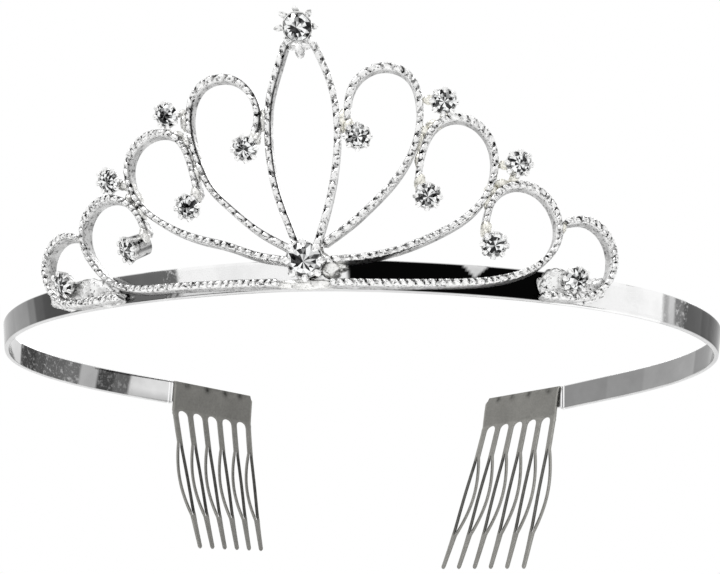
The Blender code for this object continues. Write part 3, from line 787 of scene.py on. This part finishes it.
def comb_row(side, j, rows):
    """The places (s, z, out) across one row of the sheet."""
    out, z = rows[j]
    depth = max(0.0, GAP_TOP - z)
    half_width, half_slit = tooth_edges(side, depth)
    if j == len(rows) - 1:
        half_width, half_slit = half_width * 0.5, half_slit * 0.5
    share = depth / (GAP_TOP - TOOTH_TIP[side])
    plate_top = rows[PLATE_ROW][1]
    below_fold = (plate_top - z) / (plate_top - TOOTH_TIP[side]) if j > PLATE_ROW else 0.0
    swell = 0.0
    if SLIT_START < j < SLIT_STOP:
        swell = math.sin(math.pi * (SLIT_TOP - z) / (SLIT_TOP - SLIT_END[side]))
    rear_slit = half_slit * (REAR_SLIT_SHARE if swell else 1.0)
    last = (TOOTH_COUNT - 1) * TOOTH_PITCH
    slant = TOOTH_SLANT[side] * below_fold**SLANT_EASE
    places = []
    for edge in range(EDGES):
        tooth, corner = divmod(edge, 4)
        shift = (-half_width, -half_slit, rear_slit, half_width - half_slit + rear_slit)[corner]
        if j <= FIRST_TOOTH_ROW + 3 and edge in (0, EDGES - 1):
            shift = math.copysign(TOOTH_NECK / 2, shift)
        before_last = (last - tooth * TOOTH_PITCH) * (1.0 - TOOTH_GATHER[side] * share)
        s = COMB_START[side] + TOOTH_NECK / 2 + last - before_last + slant + shift
        if edge == EDGES - 1 and abs(j - FOLD_MIDDLE) < 3:
            s -= CORNER_CUT * (1 - abs(j - FOLD_MIDDLE) / 4)
        lift = depth * TOOTH_SHORTENING * tooth / (TOOTH_COUNT - 1)
        bow = (FRONT_BOW if corner < 2 else REAR_BOW) * swell
        places.append((s, z + lift, out + bow))
    row = np.empty((COLUMNS, 3))
    row[::2] = places
    row[1::2] = (row[2::2] + row[:-2:2]) / 2
    return row


print("columns:", COLUMNS)


# %% What a comb's finish reads
def crimp_marks(z, from_start):
    """How strongly the crimping tool has bruised each place of a row at height z."""
    if not 0.6 < z < 4:
        return np.zeros(len(from_start))
    wide, high = CRIMP_SIZE
    off_height = ((z - CRIMP_HEIGHT) / high) ** 2
    marks = [np.exp(-(((from_start - crimp) / wide) ** 2) - off_height) for crimp in CRIMPS]
    return np.max(marks, axis=0)


def painted_edge_light_and_shade(j):
    """Across a row: above 0 for painted highlights on the end edges and front branches, a little above
    0 on the teeth, below 0 for painted shade on a tooth's rear branch.
    """
    marks = np.full(COLUMNS, 0.0 if j < FIRST_TOOTH_ROW else 0.25)
    marks[:2] = marks[-2:] = 0.6
    if SLIT_START < j < SLIT_STOP:
        for tooth in range(TOOTH_COUNT):
            marks[tooth * 8 + 4 : tooth * 8 + 8] = -0.8
            marks[tooth * 8 : tooth * 8 + 3] = 0.5
    return marks


print("crimps on each comb:", len(CRIMPS))

# %% Cut, fold and thicken the combs
def comb_cells(row_count):
    """The sheet's cells, without those that fall in a gap between teeth or in a slit."""
    index = np.arange(COLUMNS * row_count).reshape(COLUMNS, row_count)
    cells = []
    for i in range(COLUMNS - 1):
        between = (i // 2) % 4
        for j in range(row_count - 1):
            in_gap = between == 3 and j >= FIRST_TOOTH_ROW
            in_slit = between == 1 and SLIT_START <= j < SLIT_STOP
            if not (in_gap or in_slit):
                cells.append((index[i, j], index[i + 1, j], index[i + 1, j + 1], index[i, j + 1]))
    return cells


def thicken(made):
    """Gives a sheet its thickness and soft edges, and drops the points that no cell uses."""
    bulk = made.modifiers.new("thickness", "SOLIDIFY")
    bulk.thickness = COMB_SHEET * MM
    bulk.offset = 0.0
    soften = made.modifiers.new("soft edges", "BEVEL")
    soften.width = 0.09 * MM
    soften.segments = 2
    soften.limit_method = "ANGLE"
    soften.angle_limit = math.radians(50)
    loose = bmesh.new()
    loose.from_mesh(made.data)
    unused = [point for point in loose.verts if not point.link_faces]
    bmesh.ops.delete(loose, geom=unused, context="VERTS")
    loose.to_mesh(made.data)
    loose.free()


def comb(side):
    """The folded sheet with its split teeth."""
    rows = comb_rows(side)
    points = np.zeros((COLUMNS, len(rows), 3))
    bruise = np.zeros((COLUMNS, len(rows)))
    wear = np.zeros((COLUMNS, len(rows)))
    for j, (out, z) in enumerate(rows):
        s, heights, outs = comb_row(side, j, rows).T
        points[:, j] = on_face(s * SIDES[side], heights, outs)
        bruise[:, j] = crimp_marks(z, s - COMB_START[side])
        wear[:, j] = painted_edge_light_and_shade(j)
    mesh = bpy.data.meshes.new(f"comb_{side}")
    mesh.from_pydata(points.reshape(-1, 3).tolist(), [], comb_cells(len(rows)))
    paint(mesh, bruise=bruise, edge=wear + (LEFT_COMB_SHADE if side == "left" else 0.0))
    mesh.validate()
    made = finished(f"comb_sheet_{side}", mesh, dull, f"comb_{side}", 60.0)
    thicken(made)
    return made


for side in SIDES:
    made = comb(side)
    print(made.name, len(made.data.polygons), "cells")

# %% [markdown]
# ## The settings
# A rhinestone is a cut crystal with foil behind it, held in a cup whose claws are pressed over
# its edge. The foil makes each facet a small mirror, black or white as it happens to face, so the
# facets carry a painted reflection tone each, drawn at random with a fixed seed. The cup is a turned
# wall with a scalloped rim, and each claw is a tapering bar that climbs the wall and bends inwards.
# The top cup's claws were left standing open.

# %% Places of the settings
SMALL_CRYSTAL = 2.0
TOP_CRYSTAL = 2.4
CENTRE_CRYSTAL = 3.0
TABLE_STAND = {SMALL_CRYSTAL: 3.6, TOP_CRYSTAL: 3.9, CENTRE_CRYSTAL: 4.6}
CUP_TILT = 20.0
GIRDLE_LEVEL = 0.86
GIRDLE_HEIGHT = 0.08
CROWN_HEIGHT = 0.34
PAVILION_DEPTH = 0.72
SETTINGS = {
    "left": {
        "upper_junction": (22.7, 27.6),
        "lower_junction": (34.9, 17.9),
        "inner_drop": (8.8, 20.2),
        "middle_drop": (19.4, 11.3),
        "outer_drop": (31.2, 4.8),
        "end": (46.7, 1.4),
    },
    "right": {
        "upper_junction": (22.7, 28.0),
        "lower_junction": (35.4, 18.7),
        "inner_drop": (9.3, 21.6),
        "middle_drop": (20.8, 12.1),
        "outer_drop": (32.2, 4.8),
        "end": (46.6, 0.4),
    },
    "middle": {
        "top": (-0.1, 40.0),
        "centre": (1.1, 0.7),
    },
}
# one cup was soldered askew, and stands deeper than the others
TURNED_CUPS = {"outer_drop_left": -22.0}
DEEPER_CUPS = {"outer_drop_left": 2.2}
DEEPER_FLARE = 0.3  # how much wider its back is, for each unit of extra depth


def setting_frame(name, s, z, radius):
    """A matrix whose origin is the cup's back and whose Z axis is the cup's own."""
    stand = TABLE_STAND[radius] + DEEPER_CUPS.get(name, 0.0) / 2
    origin = on_face(s, z, stand)
    ahead = unit(on_face(s, z, stand + 1) - origin)
    up = unit(on_face(s, z + 1, stand) - origin)
    side = unit(np.cross(up, ahead))
    ahead = np.cross(side, up)
    turned = Matrix(np.stack([side, up, ahead], axis=1).tolist()).to_4x4()
    table = (GIRDLE_LEVEL + GIRDLE_HEIGHT + CROWN_HEIGHT) * radius * MM
    place = Matrix.Translation(Vector(origin)) @ turned
    place @= Matrix.Rotation(math.radians(TURNED_CUPS.get(name, 0.0)), 4, "Y")
    place @= Matrix.Rotation(math.radians(CUP_TILT), 4, "X")
    return place @ Matrix.Translation((0.0, 0.0, -table))


print("places for settings:", sum(len(named) for named in SETTINGS.values()))

# %% Facets and their painted reflection tones
CUT_SIDES = 16
# painted reflection: two stones face something dark, so their top facets on that side are painted dark;
# the angle it lies at, counter-clockwise from the right
DARK_REFLECTION_SIDES = {"centre": 185.0, "top": 225.0}
DARK_REFLECTION_REACH = 0.7  # radians to each side of it
DARK_REFLECTION_TONE = 0.02
FACET_REFLECTION_TONES = (0.0, 0.05, 0.3, 0.7, 1.0)
FACET_ODDS = {
    "wedge": (0.4, 0.14, 0.14, 0.1, 0.22),
    "star": (0.32, 0.12, 0.14, 0.14, 0.28),
    "kite": (0.2, 0.12, 0.14, 0.18, 0.36),
    "rim": (0.26, 0.12, 0.14, 0.16, 0.32),
}


def cut_rings(gem, radius):
    """The rings of corners where facets meet, from the table's middle down to the point."""
    level = GIRDLE_LEVEL * radius
    girdle = level + GIRDLE_HEIGHT * radius
    table = girdle + CROWN_HEIGHT * radius
    rings = (
        (0.0, table, 0.0),
        (0.44 * radius, table - 0.01 * radius, 0.0),
        (0.74 * radius, table - 0.12 * radius, 0.5),
        (1.0 * radius, girdle, 0.0),
        (1.0 * radius, level, 0.0),
        (0.04 * radius, level - PAVILION_DEPTH * radius, 0.0),
    )
    loops = []
    for ring_radius, height, twist in rings:
        angles = [2 * math.pi * (i + twist) / CUT_SIDES for i in range(CUT_SIDES)]
        points = [(ring_radius * math.cos(a), ring_radius * math.sin(a), height) for a in angles]
        if not ring_radius:
            points = points[:1]
        loops.append([gem.verts.new(Vector(point) * MM) for point in points])
    return loops


def facet_painted_reflection(name, kind, corners, turn, dice):
    """A facet's painted reflection: a tone drawn at random, but dark where the stone faces something
    dark.
    """
    tone = dice.choice(FACET_REFLECTION_TONES, p=FACET_ODDS[kind])
    if name not in DARK_REFLECTION_SIDES or kind not in ("wedge", "star"):
        return tone
    x, y, _ = sum((corner.co for corner in corners), Vector())
    off_dark = math.atan2(y, x) + turn - math.radians(DARK_REFLECTION_SIDES[name])
    off_dark = (off_dark + math.pi) % (2 * math.pi) - math.pi
    return DARK_REFLECTION_TONE if abs(off_dark) < DARK_REFLECTION_REACH else tone


print("facets round a stone:", CUT_SIDES)


# %% Cut a crystal
def crystal_stone(name, place, radius, seed):
    """A round brilliant with a painted reflection tone for every facet."""
    dice = np.random.default_rng(seed)
    turn = dice.uniform(0, 1)
    gem = bmesh.new()
    centre, table_ring, mid, rim, foot, culet = cut_rings(gem, radius)
    tones = []

    def facet(kind, *corners):
        gem.faces.new(corners)
        tones.append(facet_painted_reflection(name, kind, corners, turn, dice))

    for i in range(CUT_SIDES):
        j = (i + 1) % CUT_SIDES
        facet("wedge", centre[0], table_ring[i], table_ring[j])
        facet("star", table_ring[i], mid[i], table_ring[j])
        facet("kite", table_ring[j], mid[i], mid[j])
        facet("kite", mid[i], rim[i], rim[j])
        facet("rim", mid[i], rim[j], mid[j])
        facet("rim", rim[i], foot[i], foot[j], rim[j])
        facet("rim", foot[i], culet[i], culet[j], foot[j])
    facet("rim", *culet)
    bmesh.ops.recalc_face_normals(gem, faces=gem.faces)
    mesh = bpy.data.meshes.new(f"crystal_{name}")
    gem.to_mesh(mesh)
    gem.free()
    layer = mesh.attributes.new("facet", "FLOAT", "FACE")
    layer.data.foreach_set("value", np.array(tones, np.float32))
    mesh.transform(place @ Matrix.Rotation(turn, 4, "Z"))
    finished(f"stone_{name}", mesh, crystal, f"crystal_{name}", 1.0)
    mesh.shade_flat()


print("tones of a facet:", FACET_REFLECTION_TONES)


# %% Turn a cup's wall
CLAWS = 8
AROUND = 64
CUP_SHEET = 0.22
CUP_CLEARANCE = 0.05


def cup_wall(name, radius):
    """The turned wall: out along the back, up inside, over the scalloped rim and down outside."""
    deeper = DEEPER_CUPS.get(name, 0.0)
    back = 0.5 * radius + DEEPER_FLARE * deeper
    level = GIRDLE_LEVEL * radius
    girdle = level + GIRDLE_HEIGHT * radius
    angle = np.linspace(0, 2 * math.pi, AROUND + 1)[:-1]
    scallop = 0.5 + 0.5 * np.cos(CLAWS * angle)
    inside = radius + CUP_CLEARANCE
    outside = inside + CUP_SHEET
    wall = (
        (0.02, -deeper),
        (back - 0.1, -deeper),
        (back + 0.1, 0.1 - deeper),
        (0.97 * inside, 0.8 * level),
        (inside, level),
        (inside + 0.02, girdle - 0.1 + 0.22 * scallop),
        (inside + CUP_SHEET * 0.6, girdle - 0.06 + 0.24 * scallop),
        (outside, girdle - 0.14 + 0.22 * scallop),
        (outside, level),
        (0.97 * inside + CUP_SHEET, 0.8 * level),
        (back + 0.15 + CUP_SHEET, -deeper),
        (back, -CUP_SHEET - deeper),
        (0.02, -CUP_SHEET - deeper),
    )
    rows = []
    for r, height in wall:
        heights = np.broadcast_to(height, angle.shape)
        rows.append(np.stack([r * np.cos(angle), r * np.sin(angle), heights], axis=1))
    return skin(f"cup_{name}", np.array(rows) * MM)


print("points round a cup:", AROUND)


# %% Paths of the claws
def bar_along(path, widths, depths):
    """Sections of a rounded bar along a path in the (radius, height) plane, as (r, across, h)."""
    path = np.array(path, float)
    heading = np.gradient(path, axis=0)
    heading /= np.linalg.norm(heading, axis=1)[:, None]
    off = np.stack([heading[:, 1], -heading[:, 0]], axis=1)
    turn = np.linspace(0, 2 * math.pi, 9)[:-1]
    rows = []
    for (r, h), (off_r, off_h), width, depth in zip(path, off, widths, depths):
        swing = depth * np.cos(turn)
        rows.append(np.stack([r + off_r * swing, width * np.sin(turn), h + off_h * swing], axis=1))
    return np.array(rows)


def closed_claw(radius):
    """A claw pressed over the stone: its path, and its half widths and depths along it."""
    size = radius / SMALL_CRYSTAL
    level = GIRDLE_LEVEL * radius
    girdle = level + GIRDLE_HEIGHT * radius
    outside = radius + CUP_CLEARANCE + CUP_SHEET
    path = (
        (0.8 * outside, 0.3 * level),
        (outside + 0.04, level),
        (outside + 0.1 * size, girdle + 0.16 * size),
        (0.99 * radius, girdle + 0.36 * size),
        (0.8 * radius, girdle + 0.36 * size),
    )
    widths = np.array((0.4, 0.46, 0.48, 0.42, 0.2)) * size
    depths = np.array((0.22, 0.26, 0.28, 0.22, 0.1)) * size
    return path, widths, depths


def open_claw(radius, number):
    """A claw left standing open, some more than others."""
    spread = 1.0 + 0.12 * math.sin(2.3 * number)
    level = GIRDLE_LEVEL * radius
    girdle = level + GIRDLE_HEIGHT * radius
    outside = radius + CUP_CLEARANCE + CUP_SHEET
    path = (
        (0.8 * outside, 0.35 * level),
        (outside + 0.02, level),
        (outside + 0.3, girdle + 0.35),
        (outside + 0.8 * spread, girdle + 0.8),
        (outside + 1.25 * spread, girdle + 1.05),
    )
    return path, (0.5, 0.56, 0.56, 0.5, 0.12), (0.2, 0.22, 0.2, 0.16, 0.06)


print("claws on a cup:", CLAWS)


# %% Put the claws on a cup
def claw_cup(name, place, radius, opened):
    """The cup's wall and its claws, as one piece, duller low down and between the claws."""
    cup = cup_wall(name, radius)
    parts = bmesh.new()
    parts.from_mesh(cup)
    for number in range(CLAWS):
        turn = 2 * math.pi * number / CLAWS
        bar_sections = bar_along(*(open_claw(radius, number) if opened else closed_claw(radius)))
        r, sideways, h = np.moveaxis(bar_sections, -1, 0)
        x = r * math.cos(turn) - sideways * math.sin(turn)
        y = r * math.sin(turn) + sideways * math.cos(turn)
        claw = skin("claw", np.stack([x, y, h], axis=-1) * MM)
        parts.from_mesh(claw)
        bpy.data.meshes.remove(claw)
    parts.to_mesh(cup)
    parts.free()
    corners = np.array([corner.co for corner in cup.vertices]) / MM
    # darker low down on the cup and between the claws
    between_claws = 0.5 - 0.5 * np.cos(CLAWS * np.arctan2(corners[:, 1], corners[:, 0]))
    girdle = GIRDLE_LEVEL * radius + GIRDLE_HEIGHT * radius
    low = np.clip((girdle - 0.15 - corners[:, 2]) / (0.5 * radius), 0, 1)
    paint(cup, tarnish=np.clip(0.4 * low + 0.95 * between_claws**2 * (0.5 + 0.5 * low), 0, 1))
    cup.transform(place)
    finished(f"claw_cup_{name}", cup, cast, f"cup_{name}", 50.0)


print("cups stand deeper or turned:", sorted({*DEEPER_CUPS, *TURNED_CUPS}))

# %% Set the crystals
FIRST_SEED = 11
count = 0
for side, named in SETTINGS.items():
    for short_name, (s, z) in named.items():
        name = short_name if side == "middle" else f"{short_name}_{side}"
        radius = {"centre": CENTRE_CRYSTAL, "top": TOP_CRYSTAL}.get(name, SMALL_CRYSTAL)
        place = setting_frame(name, CROWN_SHIFT + SIDES.get(side, 1) * s, z, radius)
        claw_cup(name, place, radius, name == "top")
        crystal_stone(name, place, radius, FIRST_SEED + count)
        count += 1
print("settings:", count)

# %% [markdown]
# ## The solder
# Solder pulls itself into smooth lumps in every corner where two pieces meet. Each lump is a
# sphere squashed along the headband's own directions and pushed about by noise. A long one lies
# along the strip under the centre cup, rough ones bury the tails of the end scrolls, and some have
# a faint yellow stain from the flux.

# %% Lumps of solder
LUMP_ROUGHNESS = 0.22


def lump(into, seed, s, z, out, along_s, high, deep):
    """Adds a lump of solder centred at that place, with its three half sizes in millimetres."""
    ball = bmesh.new()
    bmesh.ops.create_icosphere(ball, subdivisions=4, radius=1.0)
    for corner in ball.verts:
        coarse = noise.noise(corner.co * 2.2 + Vector((seed * 3.7, 0, 0)))
        fine = noise.noise(corner.co * 6.0 + Vector((0, seed * 1.9, 0)))
        push = 1.0 + LUMP_ROUGHNESS * coarse
        push += LUMP_ROUGHNESS * 0.5 * fine
        x, y, h = corner.co * push
        corner.co = Vector(on_face(s + along_s * x, z + high * h, out - deep * y))
    mesh = bpy.data.meshes.new("lump")
    ball.to_mesh(mesh)
    ball.free()
    into.from_mesh(mesh)
    bpy.data.meshes.remove(mesh)


def solder_piece(name, lumps, gold, node=None, crack=0.3):
    """Several lumps as one object, with a yellow stain and cracks of those strengths."""
    joined = bmesh.new()
    for number, sizes in enumerate(lumps):
        lump(joined, number + len(name), *sizes)
    mesh = bpy.data.meshes.new(name)
    joined.to_mesh(mesh)
    joined.free()
    paint(mesh, gold=gold, crack=crack)
    finished(name, mesh, solder, node, 180.0)
    print(name, len(lumps), "lumps")


# %% Solder of the centre
solder_piece(
    "centre_solder_pool",
    [
        (CROWN_SHIFT + 1.0, -1.9, 0.9, 5.6, 0.8, 1.2),
        (CROWN_SHIFT + 1.2, 2.0, 0.7, 3.6, 2.6, 1.0),
        (CROWN_SHIFT + 5.2, 0.5, 1.0, 1.7, 1.5, 1.2),
        (CROWN_SHIFT + 6.9, 0.9, 0.9, 1.1, 0.7, 0.8),
    ],
    0.1,
    "centre_solder",
)
# %% Places of the solder at the joints and tails
# (s, z, out, then the half sizes along, up and out), with s from the crown's centre
JOINTS = {
    "left": (
        (6.1, 25.9, 1.0, 0.7, 1.9, 0.8),
        (18.3, 20.3, 1.0, 0.9, 1.6, 0.9),
        (29.9, 14.6, 1.2, 0.9, 1.3, 1.0),
        (42.4, 9.6, 1.4, 0.7, 0.9, 1.1),
        (20.5, 28.6, 1.3, 1.3, 0.6, 0.8),
        (23.3, 25.9, 1.3, 0.7, 0.9, 0.8),
        (19.9, 23.4, 1.2, 0.9, 0.9, 0.8),
        (21.6, 24.9, 1.3, 1.2, 0.7, 0.8),
        (32.2, 17.6, 1.4, 1.5, 0.8, 0.9),
        (31.6, 15.2, 1.3, 0.8, 0.9, 0.9),
        (7.4, 22.7, 1.7, 1.0, 1.1, 1.0),
        (18.1, 13.9, 1.9, 0.9, 1.5, 1.1),
        (28.6, 8.0, 1.9, 0.9, 1.6, 1.2),
        (20.1, 27.0, 1.2, 0.7, 1.5, 0.8),
        (31.0, 16.4, 1.3, 0.8, 1.6, 0.9),
        (18.1, 17.8, 1.2, 0.7, 1.5, 0.9),
        (29.2, 12.4, 1.3, 0.8, 1.4, 0.9),
    ),
    "right": (
        (6.8, 25.4, 1.0, 0.7, 2.1, 0.8),
        (19.4, 22.2, 1.0, 0.9, 1.7, 0.9),
        (31.2, 14.6, 1.2, 0.9, 1.4, 1.0),
        (43.8, 9.6, 1.4, 0.7, 0.9, 1.1),
        (20.6, 29.1, 1.4, 1.4, 0.7, 0.8),
        (23.0, 26.4, 1.4, 0.8, 1.0, 0.8),
        (19.9, 23.9, 1.2, 0.9, 0.9, 0.8),
        (21.4, 25.0, 1.3, 1.3, 0.8, 0.8),
        (33.6, 19.1, 1.5, 1.5, 0.7, 0.9),
        (33.2, 15.9, 1.4, 1.3, 0.8, 0.9),
        (35.0, 16.9, 1.5, 0.8, 0.9, 0.9),
        (31.6, 14.4, 1.4, 1.0, 1.0, 0.9),
        (7.8, 24.2, 1.7, 0.9, 1.1, 1.0),
        (19.5, 15.0, 1.9, 0.9, 1.5, 1.1),
        (30.8, 8.0, 1.9, 0.9, 1.5, 1.2),
        (19.2, 19.0, 1.2, 0.7, 1.4, 0.9),
        (31.0, 12.6, 1.3, 0.7, 1.3, 0.9),
    ),
}
# the scrolls' tails are buried in rough solder that hides the headband's face
TAILS = {
    "left": (
        (44.0, 0.2, 0.5, 8.4, 2.5, 0.7),
        (50.2, 1.6, 0.8, 2.0, 1.6, 0.9),
        (37.2, -1.6, 0.6, 3.2, 1.3, 0.7),
    ),
    "right": (
        (44.0, 0.3, 0.8, 3.4, 2.7, 1.1),
        (48.2, -0.3, 0.9, 3.6, 2.2, 1.2),
        (51.3, 0.6, 0.9, 1.6, 1.7, 1.0),
    ),
}
print("joints soldered:", {side: len(lumps) for side, lumps in JOINTS.items()})

# %% Solder of the joints, the tails and the top
for side, direction in SIDES.items():
    placed = [(CROWN_SHIFT + direction * s, *rest) for s, *rest in JOINTS[side]]
    solder_piece(f"joint_solder_{side}", placed, 0.15 if side == "left" else 0.5)
    placed = [(CROWN_SHIFT + direction * s, *rest) for s, *rest in TAILS[side]]
    solder_piece(f"tail_solder_{side}", placed, 0.0, crack=1.0 if side == "left" else 1.5)
top_lumps = [(CROWN_SHIFT, 38.2, 1.2, 2.2, 0.8, 0.9), (CROWN_SHIFT, 37.1, 1.3, 0.7, 1.1, 0.7)]
solder_piece("top_solder", top_lumps, 0.0)

# %% [markdown]
# ## The studio
# Polished metal is lit by what it reflects, so the studio is a white room: an even white sky, a
# pale floor well below, and three soft lamps to give the rounded edges a glint and a direction.
# A mirror in an all-white room looks flat, so a few dark cards stand around it. The camera doesn't
# see them, but the beads, claws and edges do.

# %% Floor, lamps and sky
FLOOR_HALF_SIZE = 40.0
FLOOR_DEPTH = 0.5


def hung(name, data, spot):
    """An object at that spot, turned to face the tiara."""
    made = bpy.data.objects.new(name, data)
    made.location = spot
    made.rotation_euler = (-Vector(spot)).to_track_quat("-Z", "Y").to_euler()
    bpy.context.scene.collection.objects.link(made)
    return made


floor_mesh = bpy.data.meshes.new("floor")
slab = bmesh.new()
bmesh.ops.create_grid(slab, x_segments=8, y_segments=8, size=FLOOR_HALF_SIZE)
bmesh.ops.translate(slab, verts=slab.verts, vec=(0, 0, -FLOOR_DEPTH))
slab.to_mesh(floor_mesh)
slab.free()
floor = bpy.data.objects.new("floor", floor_mesh)
bpy.context.scene.collection.objects.link(floor)
paper = Finish("pale paper", Roughness=0.9)
paper.drive(Base_Color=paper.grain(8.0).tint((0.92, 0.92, 0.92), (0.95, 0.95, 0.95)))
floor_mesh.materials.append(paper.material)

for name, spot, size, watts in (
    ("key lamp", (-0.4, -0.6, 0.6), 0.35, 3.0),
    ("fill lamp", (0.5, -0.35, 0.75), 0.5, 1.0),
    ("back lamp", (0.1, 0.7, 0.6), 0.4, 1.5),
):
    lamp = bpy.data.lights.new(name, "AREA")
    lamp.size = size
    lamp.energy = watts
    hung(name, lamp, spot)

sky = bpy.data.worlds.new("white room")
sky.use_nodes = True
sky.node_tree.nodes["Background"].inputs["Color"].default_value = (1.0, 1.0, 1.0, 1.0)
sky.node_tree.nodes["Background"].inputs["Strength"].default_value = 1.0
bpy.context.scene.world = sky
bpy.context.scene.view_settings.view_transform = "Standard"

# %% Dark cards
CARDS = (
    ("upper left card", (-0.5, -0.4, 0.6), 0.35, 0.5, 0.01),
    ("upper right card", (0.6, -0.3, 0.6), 0.35, 0.5, 0.01),
    ("lower left card", (-0.5, -0.5, -0.4), 0.4, 0.3, 0.02),
    ("lower right card", (0.55, -0.45, -0.42), 0.3, 0.3, 0.02),
    ("front card", (0.13, -0.95, 0.3), 0.1, 0.4, 0.01),
)
for name, spot, width, height, tone in CARDS:
    sheet = bmesh.new()
    bmesh.ops.create_grid(sheet, x_segments=2, y_segments=2, size=0.5)
    bmesh.ops.scale(sheet, verts=sheet.verts, vec=(width, height, 1))
    card_mesh = bpy.data.meshes.new(name)
    sheet.to_mesh(card_mesh)
    sheet.free()
    cloth = Finish(name, Roughness=0.9)
    lighter = tone * 1.2
    cloth.drive(Base_Color=cloth.grain(8.0).tint((tone, tone, tone), (lighter, lighter, lighter)))
    card_mesh.materials.append(cloth.material)
    card = hung(name, card_mesh, spot)
    card.visible_camera = False
    card.visible_shadow = False
print("cards:", len(CARDS))

# %% [markdown]
# ## The camera
# The tiara is seen from slightly below and a little to the right, from about 30 cm away, with the
# camera tipped by a few degrees. So two angles and a distance from the point that it looks at give
# the camera's place, and a third angle gives its tilt.

# %% Camera
AZIMUTH, ELEVATION, ROLL = (math.radians(angle) for angle in (10.74, -18.85, 2.57))
TARGET = Vector((0.0002, 0.005, 0.0144))
DISTANCE = 0.3118
back = Vector(
    (
        math.sin(AZIMUTH) * math.cos(ELEVATION),
        -math.cos(AZIMUTH) * math.cos(ELEVATION),
        math.sin(ELEVATION),
    )
)
right = (-back).cross(Vector((0, 0, 1))).normalized()
up = right.cross(-back)
turned_right = right * math.cos(ROLL) + up * math.sin(ROLL)
turned_up = up * math.cos(ROLL) - right * math.sin(ROLL)
turned = Matrix((turned_right, turned_up, back)).transposed().to_4x4()
camera = bpy.data.cameras.new("camera")
camera.sensor_width = 36.0
camera.lens = 76.35
camera.clip_start = 0.01
holder = bpy.data.objects.new("camera", camera)
holder.matrix_world = Matrix.Translation(TARGET + back * DISTANCE) @ turned
bpy.context.scene.collection.objects.link(holder)
bpy.context.scene.camera = holder
print("camera distance in mm:", round(DISTANCE / MM, 1))

# %% Update the scene
bpy.context.view_layer.update()
